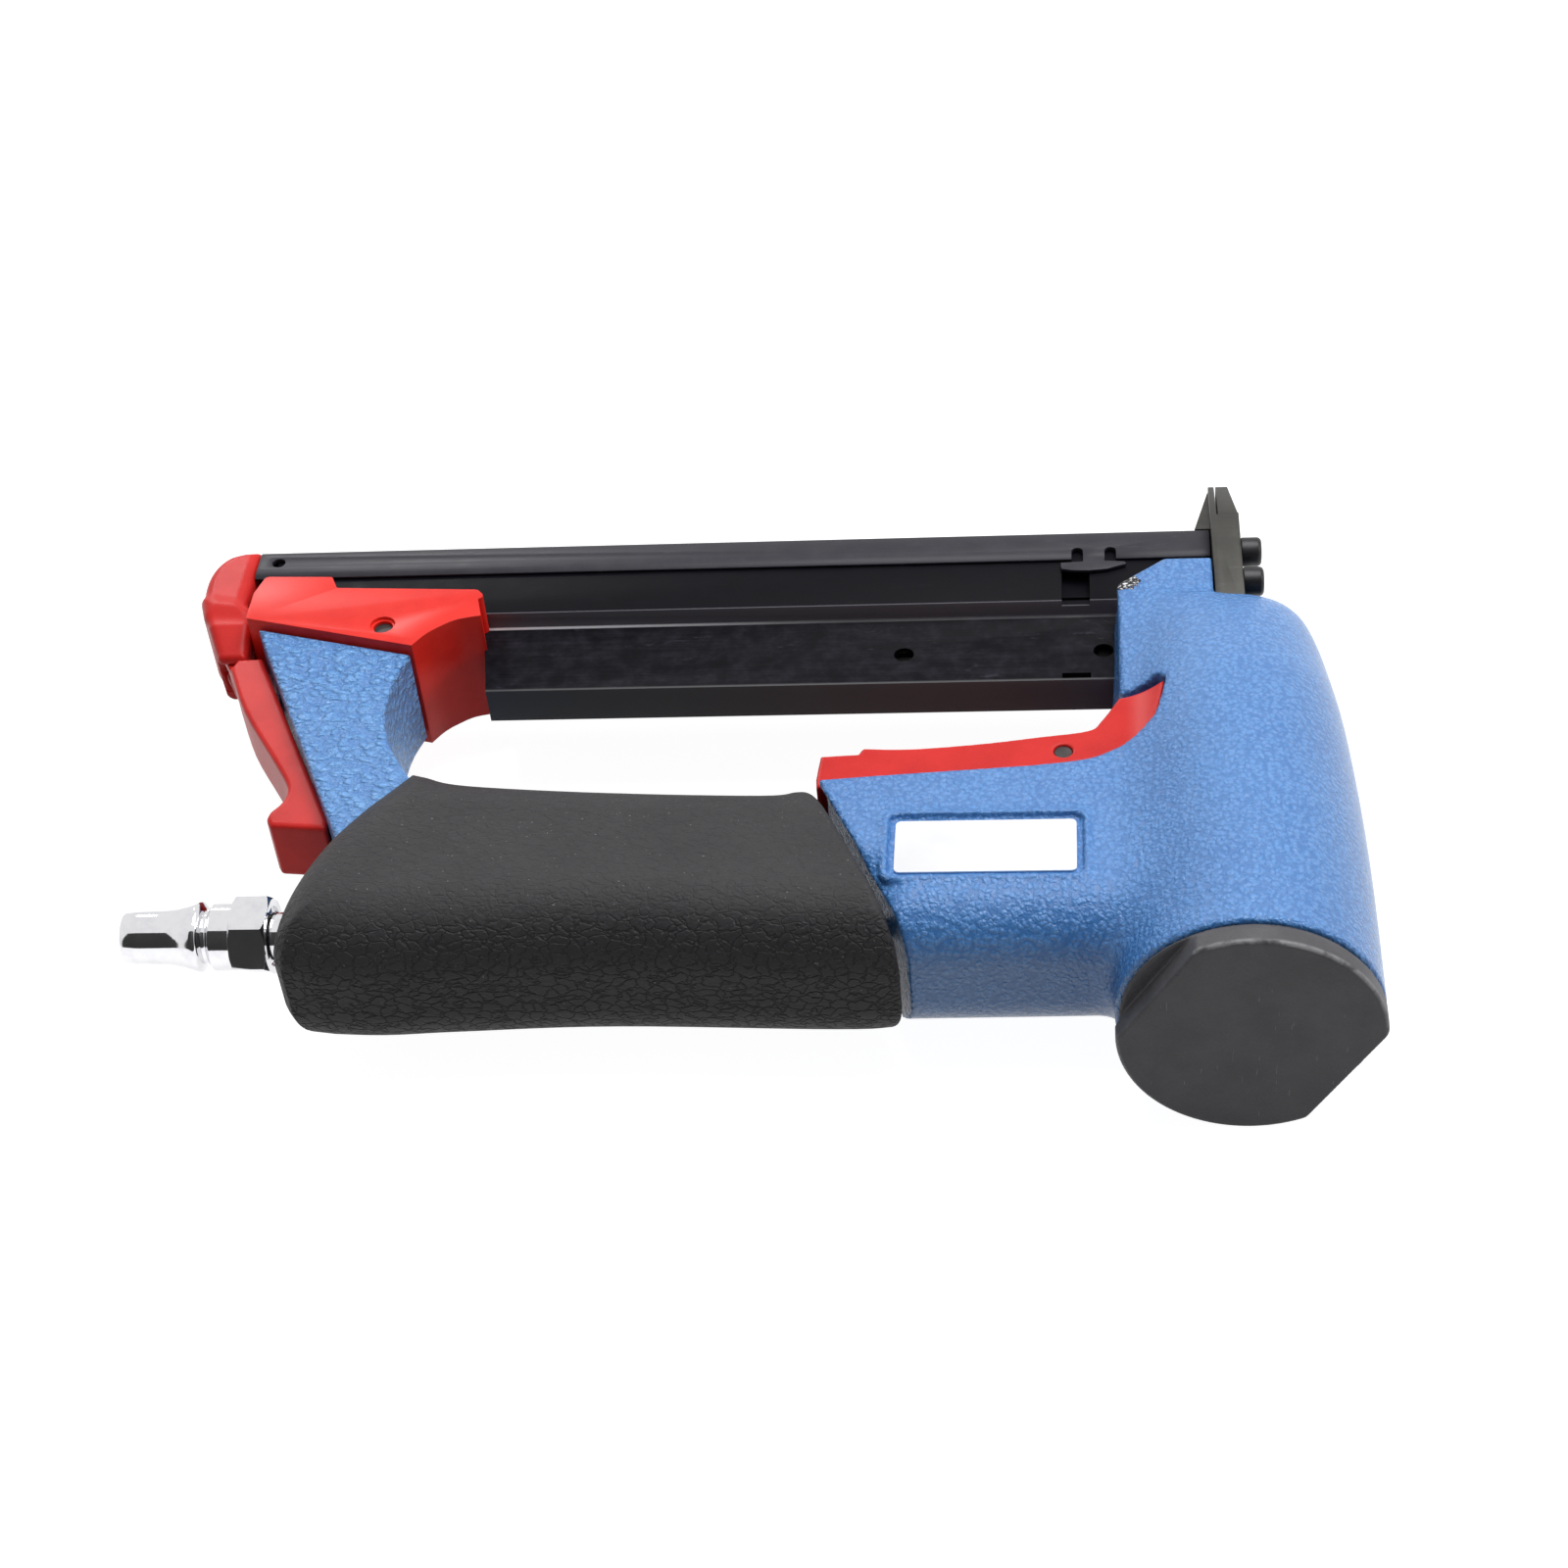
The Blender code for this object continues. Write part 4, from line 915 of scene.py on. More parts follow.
def settled(points: Array, shape: Shape, step: float) -> Array:
    """Move points onto the surface of a shape.

    Args:
        points: Points near the surface.
        shape: Signed distance in tool mm.
        step: Grid size, of which a point moves half at most in each round.

    Returns:
        The moved points.
    """
    nudge = 0.02
    for _ in range(3):
        x, y, z = points.T
        slope = np.stack(
            [
                shape(x + nudge, y, z) - shape(x - nudge, y, z),
                shape(x, y + nudge, z) - shape(x, y - nudge, z),
                shape(x, y, z + nudge) - shape(x, y, z - nudge),
            ],
            1,
        ) / (2 * nudge)
        reach = shape(x, y, z) / np.maximum((slope**2).sum(1), 0.05)
        move = reach[:, None] * slope
        size = np.linalg.norm(move, axis=1, keepdims=True)
        points = points - move * np.minimum(1.0, 0.5 * step / np.maximum(size, 1e-9))
    return points


# Pieces


def placed(name: str, data: bpy.types.ID) -> bpy.types.Object:
    """Put one object in the scene, at the origin.

    Args:
        name: Object name.
        data: Its mesh, lamp or camera.

    Returns:
        The object.
    """
    made = bpy.data.objects.new(name, data)
    bpy.context.scene.collection.objects.link(made)
    return made


def finished(
    name: str, mesh: bpy.types.Mesh, finish: Finish, body: Body, nodes: Sequence[str]
) -> bpy.types.Object:
    """Put one finished mesh in the scene.

    Args:
        name: Piece name.
        mesh: Mesh in the row frame, in metres.
        finish: Finish it wears.
        body: Body it rides on.
        nodes: CAD nodes it stands for.

    Returns:
        The piece.
    """
    piece = placed(name, mesh)
    mesh.materials.clear()
    mesh.materials.append(finish.material())
    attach(piece, body.value)
    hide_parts(*nodes)
    triangles = sum(len(p.vertices) - 2 for p in mesh.polygons)
    LOG.info("%s: %d triangles on %s", name, triangles, body.value)
    return piece


def smoothed(mesh: bpy.types.Mesh, sharp: float) -> bpy.types.Mesh:
    """Shade a mesh smooth, except at its sharp edges.

    Args:
        mesh: Mesh to shade.
        sharp: Least angle of a sharp edge, in degrees.

    Returns:
        The same mesh.
    """
    mesh.shade_smooth()
    mesh.set_sharp_from_angle(angle=math.radians(sharp))
    return mesh


def moulded(name: str, shape: Shape, space: Space, step: float) -> bpy.types.Mesh:
    """Return the smooth mesh of a distance shape.

    Args:
        name: Mesh name.
        shape: Signed distance in tool mm.
        space: Lowest and highest corner of the space to search.
        step: Grid size in mm.

    Returns:
        The mesh in the row frame.
    """
    points, quads = polygonise(shape, space, step)
    mesh = bpy.data.meshes.new(name)
    mesh.from_pydata((points + TOOL_AT) * MM, [], quads.tolist())
    mesh.validate()
    mesh.shade_smooth()
    return mesh


def extruded(outline: Outline, axis: str, low: float, high: float) -> bmesh.types.BMesh:
    """Return a prism of an outline.

    Args:
        outline: Points as (x, y) along z or (y, z) along x, in tool mm.
        axis: Axis that the prism runs along.
        low: Where it starts on that axis.
        high: Where it ends.

    Returns:
        The closed solid in tool mm.
    """
    spot = {"x": lambda a, b, t: (t, a, b), "z": lambda a, b, t: (a, b, t)}[axis]
    bm = bmesh.new()
    rings = [[bm.verts.new(spot(a, b, t)) for a, b in outline] for t in (low, high)]
    bm.faces.new(rings[0])
    bm.faces.new(rings[1])
    for i in range(len(outline)):
        j = (i + 1) % len(outline)
        bm.faces.new((rings[0][i], rings[0][j], rings[1][j], rings[1][i]))
    bmesh.ops.recalc_face_normals(bm, faces=bm.faces)
    return bm


def lathe(profile: Outline, axis: str, centre: Point, sides: int) -> bmesh.types.BMesh:
    """Return a turning about an axis.

    Args:
        profile: Closed profile as (radius, place on the axis), in tool mm.
        axis: Axis to turn about.
        centre: Where the axis lies: (y, z) for x, or (x, y) for z.
        sides: Sides of the round.

    Returns:
        The closed solid in tool mm.
    """
    spot = {
        "x": lambda a, b, t: (t, centre[0] + a, centre[1] + b),
        "z": lambda a, b, t: (centre[0] + a, centre[1] + b, t),
    }[axis]
    bm = bmesh.new()
    rings = []
    for radius, along in profile:
        if radius == 0.0:
            rings.append([bm.verts.new(spot(0.0, 0.0, along))] * sides)
            continue
        turns = [math.tau * i / sides for i in range(sides)]
        ring = [spot(radius * math.cos(t), radius * math.sin(t), along) for t in turns]
        rings.append([bm.verts.new(corner) for corner in ring])
    for first, second in zip(rings, [*rings[1:], rings[0]]):
        for i in range(sides):
            j = (i + 1) % sides
            corners = list(dict.fromkeys((first[i], first[j], second[j], second[i])))
            if len(corners) > 2:
                bm.faces.new(corners)
    bmesh.ops.recalc_face_normals(bm, faces=bm.faces)
    return bm


class Blank:
    """Piece that is cut, joined and edge-broken step by step."""

    def __init__(self, name: str, bm: bmesh.types.BMesh) -> None:
        """Start from one solid.

        Args:
            name: Piece name.
            bm: Solid in tool mm.
        """
        self.name = name
        self.tools: list[bpy.types.Object] = []
        self.obj = self._solid(name, bm)

    def _solid(self, name: str, bm: bmesh.types.BMesh) -> bpy.types.Object:
        """Put a solid in the scene.

        Args:
            name: Object name.
            bm: Solid in tool mm, used up here.

        Returns:
            The object, its mesh in the row frame.
        """
        bmesh.ops.translate(bm, verts=bm.verts, vec=TOOL_AT)
        bmesh.ops.scale(bm, verts=bm.verts, vec=(MM, MM, MM))
        mesh = bpy.data.meshes.new(name)
        bm.to_mesh(mesh)
        bm.free()
        return placed(name, mesh)

    def work(self, bm: bmesh.types.BMesh, operation: str = "DIFFERENCE") -> "Blank":
        """Cut, join or trim with another solid.

        Args:
            bm: The other solid in tool mm.
            operation: DIFFERENCE, UNION or INTERSECT.

        Returns:
            The same blank.
        """
        tool = self._solid(f"{self.name}_tool", bm)
        step = self.obj.modifiers.new("work", "BOOLEAN")
        step.operation = operation
        step.solver = "EXACT"
        step.object = tool
        self.tools.append(tool)
        return self

    def edge(self, width: float, segments: int = 2, angle: float = 30.0) -> "Blank":
        """Break the sharp edges.

        Args:
            width: Width of the broken edge, in mm.
            segments: Steps across it.
            angle: Least angle of an edge that is broken, in degrees.

        Returns:
            The same blank.
        """
        step = self.obj.modifiers.new("edge", "BEVEL")
        step.width = width * MM
        step.segments = segments
        step.limit_method = "ANGLE"
        step.angle_limit = math.radians(angle)
        return self

    def mesh(self, sharp: float = SHARP) -> bpy.types.Mesh:
        """Finish the piece and clear the helpers away.

        Args:
            sharp: Least angle of an edge that stays sharp, in degrees.

        Returns:
            The mesh in the row frame.
        """
        graph = bpy.context.evaluated_depsgraph_get()
        made = bpy.data.meshes.new_from_object(self.obj.evaluated_get(graph))
        for helper in (self.obj, *self.tools):
            bpy.data.objects.remove(helper)
        return smoothed(made, sharp)


def bar(x: Span, y: Span, z: Span, axis: str = "z") -> bmesh.types.BMesh:
    """Return a square bar between two places on each axis, extruded along x or z, in tool mm."""
    a, b, along = {"x": (y, z, x), "z": (x, y, z)}[axis]
    return extruded([(a[0], b[0]), (a[1], b[0]), (a[1], b[1]), (a[0], b[1])], axis, *along)


def drum(radius: float, ends: Span, axis: str, centre: Point, sides: int) -> bmesh.types.BMesh:
    """Return a plain cylinder between two places on its axis, in tool mm."""
    return lathe([(0.0, ends[0]), (radius, ends[0]), (radius, ends[1]), (0.0, ends[1])], axis, centre, sides)


def mirrored(side: Outline) -> list[Point]:
    """Return an outline of one side, as (y, z), and its mirror across the mid-plane."""
    return [*side, *((y, -z) for y, z in reversed(side))]


def both_sides(near: float, far: float) -> tuple[Span, Span]:
    """Return a span off the mid-plane and its mirror, each from low to high."""
    return (near, far), (-far, -near)


def past_slant(x: Array, y: Array, at: Point) -> Array:
    """Return how far a place lies past the slanted joint of handle and sleeve."""
    return (x - at[0]) * JOINT_SLANT[0] + (y - at[1]) * JOINT_SLANT[1]


# Geometry Nodes

TREE_ENDS = {
    "in": "NodeGroupInput",
    "real": "GeometryNodeRealizeInstances",
    "coat": "GeometryNodeSetMaterial",
    "out": "NodeGroupOutput",
}
CLOSING_LINKS = (
    ("real", "Geometry", "coat", "Geometry"),
    ("in", "Finish", "coat", "Material"),
    ("coat", "Geometry", "out", "Result"),
)


def grown(
    name: str,
    start: bpy.types.Mesh,
    inputs: dict[str, tuple[str, object]],
    nodes: dict[str, str],
    links: Sequence[tuple[str, str, str, str]],
    finish: Finish,
) -> bpy.types.Mesh:
    """Run one Geometry Nodes tree and keep its result.

    Args:
        name: Piece that the tree makes.
        start: Mesh that the tree starts from.
        inputs: Named inputs, each with its socket kind and value.
        nodes: Node types under short names.
        links: Node and socket of each link's start and end; "in" gives the inputs, "real" takes the result.
        finish: Finish that the result wears.

    Returns:
        The plain mesh.
    """
    tree = bpy.data.node_groups.new(f"{name}_tree", "GeometryNodeTree")
    tree.interface.new_socket("Start", in_out="INPUT", socket_type="NodeSocketGeometry")
    tree.interface.new_socket("Result", in_out="OUTPUT", socket_type="NodeSocketGeometry")
    given = {**inputs, "Finish": ("Material", finish.material())}
    sockets = {
        key: tree.interface.new_socket(key, in_out="INPUT", socket_type=f"NodeSocket{kind}")
        for key, (kind, _) in given.items()
    }
    made = {key: tree.nodes.new(kind) for key, kind in {**nodes, **TREE_ENDS}.items()}
    for source, out, target, into in (*links, *CLOSING_LINKS):
        tree.links.new(made[source].outputs[out], made[target].inputs[into])
    obj = placed(f"{name}_start", start)
    step = obj.modifiers.new("growth", "NODES")
    step.node_group = tree
    for key, (_, value) in given.items():
        step[sockets[key].identifier] = value
    graph = bpy.context.evaluated_depsgraph_get()
    mesh = bpy.data.meshes.new_from_object(obj.evaluated_get(graph))
    bpy.data.objects.remove(obj)
    return mesh


def repeated(name: str, pattern: bpy.types.Mesh, places: Sequence[Place], finish: Finish) -> bpy.types.Mesh:
    """Set copies of one mesh at places.

    Args:
        name: Name of the result.
        pattern: Mesh at zero, in metres.
        places: Places in tool mm.
        finish: Finish the copies wear.

    Returns:
        One plain mesh in the row frame.
    """
    source = placed(f"{name}_pattern", pattern)
    spots = bpy.data.meshes.new(f"{name}_places")
    spots.from_pydata((np.array(places) + TOOL_AT) * MM, [], [])
    inputs = {"Pattern": ("Object", source), "Size": ("Float", 1.0)}
    nodes = {"info": "GeometryNodeObjectInfo", "set": "GeometryNodeInstanceOnPoints"}
    links = (
        ("in", "Start", "set", "Points"),
        ("in", "Pattern", "info", "Object"),
        ("info", "Geometry", "set", "Instance"),
        ("in", "Size", "set", "Scale"),
        ("set", "Instances", "real", "Geometry"),
    )
    mesh = grown(name, spots, inputs, nodes, links, finish)
    bpy.data.objects.remove(source)
    return mesh


# Sub-assemblies


@dataclass
class Housing:
    """Painted casting: head, handle and nose block in one piece, and the rear strut."""

    # At each Y: what is cut off the head's rear, front and sides, and the power of its oval
    sections: tuple[tuple[float, ...], ...] = (
        (0.0, 0.0, 0.0, 0.0, 2.0),
        (32.0, 0.0, 0.0, 0.0, 2.0),
        (54.0, 0.3, 0.6, 0.5, 2.0),
        (74.0, 1.0, 1.9, 2.0, 2.1),
        (88.0, 1.8, 3.7, 4.4, 2.2),
        (97.0, 2.4, 5.4, 6.6, 2.4),
        (102.0, 2.7, 7.1, 8.4, 2.6),
        (105.0, 2.9, 10.0, 10.4, 3.0),
    )
    section_steps: int = 8
    head_r: float = 23.0
    head_y: Span = (5.2, 103.7)
    head_edge: float = 0.8
    handle_rear: Outline = ((-80.0, 50.4), (-64.0, 51.8))
    handle_top: Outline = (
        (-40.0, 53.6), (-35.7, 54.0), (-26.9, 55.4), (-21.5, 58.5),
        (-17.0, 63.8), (-14.1, 70.6), (-12.7, 75.6),
    )
    handle_foot: Outline = ((-4.0, 78.0), (-4.0, 13.6), (-34.0, 13.2), (-64.0, 12.9))
    handle_half: float = 15.0
    handle_edge_y: Span = (28.0, 40.0)
    handle_edges: Span = (11.0, 0.8)
    handle_end: Point = (-77.0, 53.6)
    neck_fillet: float = 5.5
    block_corners: Corners = (
        (-20.7, 73.4, 3.0), (-20.7, 108.4, 1.5), (-11.5, 116.2, 1.5),
        (-2.2, 116.2, 0.0), (-2.2, 80.0, 0.0), (-8.0, 76.0, 0.0),
    )
    block_half: float = 13.0
    block_edge: float = 1.0
    block_fillet: float = 3.5
    label_rim: float = 1.2
    label_corner: float = 1.6
    label_depth: float = 0.65
    bead_in: float = 0.5
    bead_r: float = 0.95
    bead_fillet: float = 0.6
    trigger_half: float = 13.2
    trigger_swing: float = 4.0
    fit: float = 0.35
    tail_x: float = -25.4
    tail_half: float = 11.65
    valve_at: Point = (-59.3, 0.0)
    valve_r: float = 6.2
    valve_floor: float = 25.8
    lug_corners: Corners = ((-36.3, 46.0, 0.0), (-26.3, 46.0, 0.0), (-28.7, 61.7, 2.2), (-33.9, 61.7, 2.2))
    lug_half: float = 8.0
    lug_edge: float = 0.4
    bore_r: float = 17.0
    bore_end: float = 86.0
    driver_x: float = 0.15
    driver_half: Span = (0.75, 6.7)
    driver_start: float = 84.0
    throat_x: Span = (-6.0, 2.0)
    rail_half: float = 7.6
    rail_floor: float = 110.0
    rail_front: float = -4.0
    rib_half: float = 4.1
    rib_floor: float = 90.0
    rib_front: float = -4.5
    strut_rear: Outline = ((-191.0, 102.8), (-163.5, 40.0))
    strut_front: Outline = (
        (-149.5, 40.0), (-151.0, 54.0), (-153.9, 59.3), (-157.9, 66.3), (-159.6, 71.2),
        (-160.7, 76.2), (-160.8, 81.2), (-160.2, 87.6), (-158.5, 93.7),
    )
    strut_half: float = 11.0
    strut_edge: float = 0.8
    tongue_at: Point = (-173.7, 98.0)
    tongue_half: Place = (12.0, 8.0, 5.0)
    casting_space: Space = ((-79.0, 4.0, -24.0), (24.0, 117.5, 24.0))
    casting_step: float = 0.69
    strut_space: Space = ((-193.0, 38.0, -12.5), (-147.0, 108.0, 12.5))
    strut_step: float = 0.5

    def profile(self, y: Array) -> list[Array]:
        """Return the head's section at each Y, on smooth curves.

        Args:
            y: Places along the head, in tool mm.

        Returns:
            Low X, high X, half Z and the oval's power.
        """
        curves = []
        for column in range(len(self.sections[0])):
            knots = [(row[0], row[column]) for row in self.sections]
            curves.append([p[1] for p in curve_through(knots, self.section_steps)])
        rear, front, side, power = (np.interp(y, curves[0], values) for values in curves[1:])
        return [rear - self.head_r, self.head_r - front, self.head_r - side, power]

    def head(self, x: Array, y: Array, z: Array) -> Array:
        """Return the head, round at the cap and squarer at the nose.

        Args:
            x: Places along the handle, in tool mm.
            y: Places along the head.
            z: Places off the mid-plane.

        Returns:
            Signed distance, negative inside.
        """
        low, high, half, power = self.profile(y)
        reach = 0.5 * (high - low)
        across = np.abs(x - 0.5 * (high + low)) / reach
        up = np.abs(z) / half
        oval = (across**power + up**power) ** (1.0 / power)
        skin = (oval - 1.0) * np.minimum(reach, half)
        start, end = self.head_y
        return both(skin, np.abs(y - (start + end) / 2) - (end - start) / 2, self.head_edge)

    def handle(self, x: Array, y: Array, z: Array) -> Array:
        """Return the flat-sided handle with its round foot and the corner above it.

        Args:
            x: Places along the handle, in tool mm.
            y: Places along the head.
            z: Places off the mid-plane.

        Returns:
            Signed distance, negative inside.
        """
        outline = [*self.handle_rear, *curve_through(self.handle_top), *self.handle_foot]
        edge = np.interp(y, self.handle_edge_y, self.handle_edges)
        body = slab(x, y, z, outline, self.handle_half, edge)
        return np.maximum(body, -past_slant(x, y, self.handle_end))

    def block(self, x: Array, y: Array, z: Array) -> Array:
        """Return the nose block with its cut corner."""
        return slab(x, y, z, rounded(self.block_corners), self.block_half, self.block_edge)

    def window(self, x: Array, y: Array) -> Array:
        """Return the label's rounded window, seen from the side.

        Args:
            x: Places along the handle, in tool mm.
            y: Places along the head.

        Returns:
            Signed distance, negative inside.
        """
        x0, x1, y0, y1 = LABEL_AREA
        dx = np.abs(x - (x0 + x1) / 2) - (x1 - x0) / 2 - self.label_rim + self.label_corner
        dy = np.abs(y - (y0 + y1) / 2) - (y1 - y0) / 2 - self.label_rim + self.label_corner
        outer = np.hypot(np.maximum(dx, 0.0), np.maximum(dy, 0.0))
        return outer + np.minimum(np.maximum(dx, dy), 0.0) - self.label_corner

    def body(self, x: Array, y: Array, z: Array) -> Array:
        """Return the casting with its recesses, seats and bores.

        Args:
            x: Places along the handle, in tool mm.
            y: Places along the head.
            z: Places off the mid-plane.

        Returns:
            Signed distance, negative inside.
        """
        made = blend(self.head(x, y, z), self.handle(x, y, z), self.neck_fillet)
        made = blend(made, self.block(x, y, z), self.block_fillet)
        made = np.maximum(made, self.head_y[0] - y)
        window = self.window(x, y)
        bead = np.hypot(window - self.bead_in, z - self.handle_half + self.bead_in) - self.bead_r
        made = blend(made, bead, self.bead_fillet)
        made = np.maximum(made, -both(window, self.handle_half - self.label_depth - z))
        at_rest, pulled = (inside_outline(x, y, Trigger.outline(turn)) for turn in (0.0, self.trigger_swing))
        off = np.abs(z)
        depth = np.where(x > self.tail_x, self.tail_half - off, off - self.trigger_half - self.fit)
        made = np.maximum(made, -both(np.minimum(at_rest, pulled) - self.fit, depth))
        made = np.maximum(made, -both(rod_along(x, z, self.valve_at, self.valve_r), self.valve_floor - y))
        made = np.minimum(made, slab(x, y, z, rounded(self.lug_corners), self.lug_half, self.lug_edge))
        made = np.maximum(made, -rod_along(x, y, Trigger.pin_at, Trigger.pin_r))
        way = both(off - self.rail_half, self.rail_floor - y)
        blade = both(np.abs(x - self.driver_x) - self.driver_half[0], off - self.driver_half[1])
        throat = both(x - self.throat_x[1], self.throat_x[0] - x)
        cuts = (
            both(rod_along(x, z, (0.0, 0.0), self.bore_r), y - self.bore_end),
            both(blade, self.driver_start - y),
            both(throat, way),
            both(way, x - self.rail_front),
            both(both(off - self.rib_half, self.rib_floor - y), x - self.rib_front),
        )
        for cut in cuts:
            made = np.maximum(made, -cut)
        return made

    def strut(self, x: Array, y: Array, z: Array) -> Array:
        """Return the rear strut between grip and bracket, with the tongue that holds the bracket.

        Args:
            x: Places along the handle, in tool mm.
            y: Places along the head.
            z: Places off the mid-plane.

        Returns:
            Signed distance, negative inside.
        """
        outline = [*self.strut_rear, *curve_through(self.strut_front)]
        made = slab(x, y, z, outline, self.strut_half, self.strut_edge)
        (at_x, at_y), (half_x, half_y, half_z) = self.tongue_at, self.tongue_half
        tongue = both(both(np.abs(x - at_x) - half_x, np.abs(z) - half_z), np.abs(y - at_y) - half_y)
        return np.minimum(made, tongue)

    def build(self) -> None:
        """Make the casting and the strut."""
        mesh = moulded("casting", self.body, self.casting_space, self.casting_step)
        finished("casting", mesh, PAINT, Body.TOOL, ["housing"])
        mesh = moulded("rear_strut", self.strut, self.strut_space, self.strut_step)
        # The strut wears the paler copy of the blue, as painted light
        finished("rear_strut", mesh, WRINKLE_LIT, Body.TOOL, ["housing"])


@dataclass
class Grip:
    """Rubber sleeve on the handle."""

    top: Outline = (
        (-60.0, 53.9), (-79.0, 53.6), (-86.0, 52.7), (-114.0, 53.8),
        (-140.0, 56.2), (-148.0, 58.6), (-151.7, 59.8),
    )
    rear: Outline = (
        (-153.8, 59.0), (-157.5, 54.1), (-162.3, 47.8), (-167.6, 38.5),
        (-171.2, 27.0), (-171.8, 16.6), (-169.4, 11.9),
    )
    foot: Outline = (
        (-163.7, 11.0), (-154.0, 10.6), (-140.0, 11.3), (-112.0, 12.2),
        (-72.0, 10.7), (-59.5, 11.4), (-45.0, 12.4),
    )
    half_x: tuple[float, ...] = (-172.0, -150.0, -112.0, -72.0)
    halves: tuple[float, ...] = (16.6, 16.6, 16.5, 16.1)
    edge: float = 12.5
    front: Point = (-79.0, 53.6)
    front_edge: float = 1.3
    space: Space = ((-173.5, 9.0, -18.0), (-57.0, 61.0, 18.0))
    step: float = 0.6

    def body(self, x: Array, y: Array, z: Array) -> Array:
        """Return the sleeve with its slanted front and rounded rear.

        Args:
            x: Places along the handle, in tool mm.
            y: Places along the head.
            z: Places off the mid-plane.

        Returns:
            Signed distance, negative inside.
        """
        outline = [p for side in (self.top, self.rear, self.foot) for p in curve_through(side)]
        half = np.interp(x, self.half_x, self.halves)
        made = both(inside_outline(x, y, outline), np.abs(z) - half, self.edge)
        return both(made, past_slant(x, y, self.front), self.front_edge)

    def build(self) -> None:
        """Make the sleeve."""
        mesh = moulded("grip_sleeve", self.body, self.space, self.step)
        finished("grip_sleeve", mesh, GRIP, Body.TOOL, ["handle_grip"])


@dataclass
class CylinderCap:
    """Black cap with two wrench flats."""

    radius: float = 23.0
    rim: float = 3.9
    face_edge: float = 0.8
    rim_edge: float = 0.35
    flange: float = 5.0
    step_in: float = 0.7
    flat_at: float = 19.2
    flat_angle: float = 148.0
    flat_depth: float = 4.4
    flat_edge: float = 0.25
    pocket_r: float = 17.3
    pocket_floor: float = 3.2
    space: Space = ((-24.0, -1.0, -24.0), (24.0, 6.0, 24.0))
    step: float = 0.36

    def body(self, x: Array, y: Array, z: Array) -> Array:
        """Return the cap with its pocket and flats.

        Args:
            x: Places along the handle, in tool mm.
            y: Places along the head.
            z: Places off the mid-plane.

        Returns:
            Signed distance, negative inside.
        """
        r = np.hypot(x, z)
        disc = both(both(r - self.radius, -y, self.face_edge), y - self.rim, self.rim_edge)
        skirt = both(r - self.radius + self.step_in, np.abs(y - self.flange / 2 - 1.0) - self.flange / 2 + 1.0)
        angle = math.radians(self.flat_angle)
        out = np.abs(x * math.cos(angle) + z * math.sin(angle))
        flat = both(self.flat_at - out, y - self.flat_depth)
        made = both(np.minimum(disc, skirt), -flat, self.flat_edge)
        return np.maximum(made, -both(r - self.pocket_r, self.pocket_floor - y))

    def build(self) -> None:
        """Make the cap."""
        mesh = moulded("screw_cap", self.body, self.space, self.step)
        finished("screw_cap", mesh, CAP, Body.TOOL, ["cylinder_cap"])


@dataclass
class Trigger:
    """Red saddle trigger."""

    rear: Outline = ((-76.2, 53.0), (-75.7, 59.0), (-68.8, 59.4))
    top: Outline = (
        (-68.0, 61.0), (-59.0, 60.7), (-46.4, 61.8), (-35.7, 63.4),
        (-26.8, 64.9), (-24.3, 67.6), (-21.0, 73.8),
    )
    tip: Point = (-12.6, 74.4)
    foot: Outline = (
        (-13.4, 70.0), (-15.1, 64.2), (-19.2, 59.8), (-23.2, 57.4), (-27.5, 56.2),
        (-36.0, 54.6), (-46.3, 53.6), (-64.0, 51.8), (-76.0, 50.4),
    )
    pin_at: Point = (-31.3, 59.2)
    pin_r: float = 1.75
    pin_edge: float = 0.25
    half: float = 13.2
    flare: float = 4.0
    flare_x: Span = (-22.0, 9.5)
    edge: float = 0.6
    pocket: Outline = (
        (-72.5, 40.0), (-72.5, 57.0), (-66.0, 58.2), (-46.4, 59.6),
        (-35.7, 61.2), (-26.8, 62.6), (-24.1, 65.2), (-24.1, 40.0),
    )
    pocket_half: float = 10.5
    split: Outline = ((-25.0, 40.0), (-25.0, 64.0), (-24.0, 67.0), (-23.0, 80.0), (-5.0, 80.0), (-5.0, 40.0))
    split_half: float = 12.0
    space: Space = ((-78.0, 49.0, -18.0), (-11.5, 79.4, 18.0))
    step: float = 0.42

    @classmethod
    def outline(cls, turn: float = 0.0) -> list[Point]:
        """Return the side outline, turned about the pin by an angle in degrees."""
        points = [*cls.rear, *curve_through(cls.top), cls.tip, *curve_through(cls.foot)]
        return turned_points(points, cls.pin_at, turn)

    def body(self, x: Array, y: Array, z: Array) -> Array:
        """Return the trigger with its pocket and split tail.

        Args:
            x: Places along the handle, in tool mm.
            y: Places along the head.
            z: Places off the mid-plane.

        Returns:
            Signed distance, negative inside.
        """
        start, length = self.flare_x
        half = self.half + self.flare * np.clip((x - start) / length, 0.0, 1.0) ** 2
        made = both(inside_outline(x, y, self.outline()), np.abs(z) - half, self.edge)
        for hollow, reach in ((self.pocket, self.pocket_half), (self.split, self.split_half)):
            made = np.maximum(made, -both(inside_outline(x, y, hollow), np.abs(z) - reach))
        return both(made, -rod_along(x, y, self.pin_at, self.pin_r), self.pin_edge)

    def build(self) -> None:
        """Make the trigger."""
        mesh = moulded("trigger_saddle", self.body, self.space, self.step)
        finished("trigger_saddle", mesh, DARK_RED_AND_SHADE, Body.TRIGGER, ["trigger"])


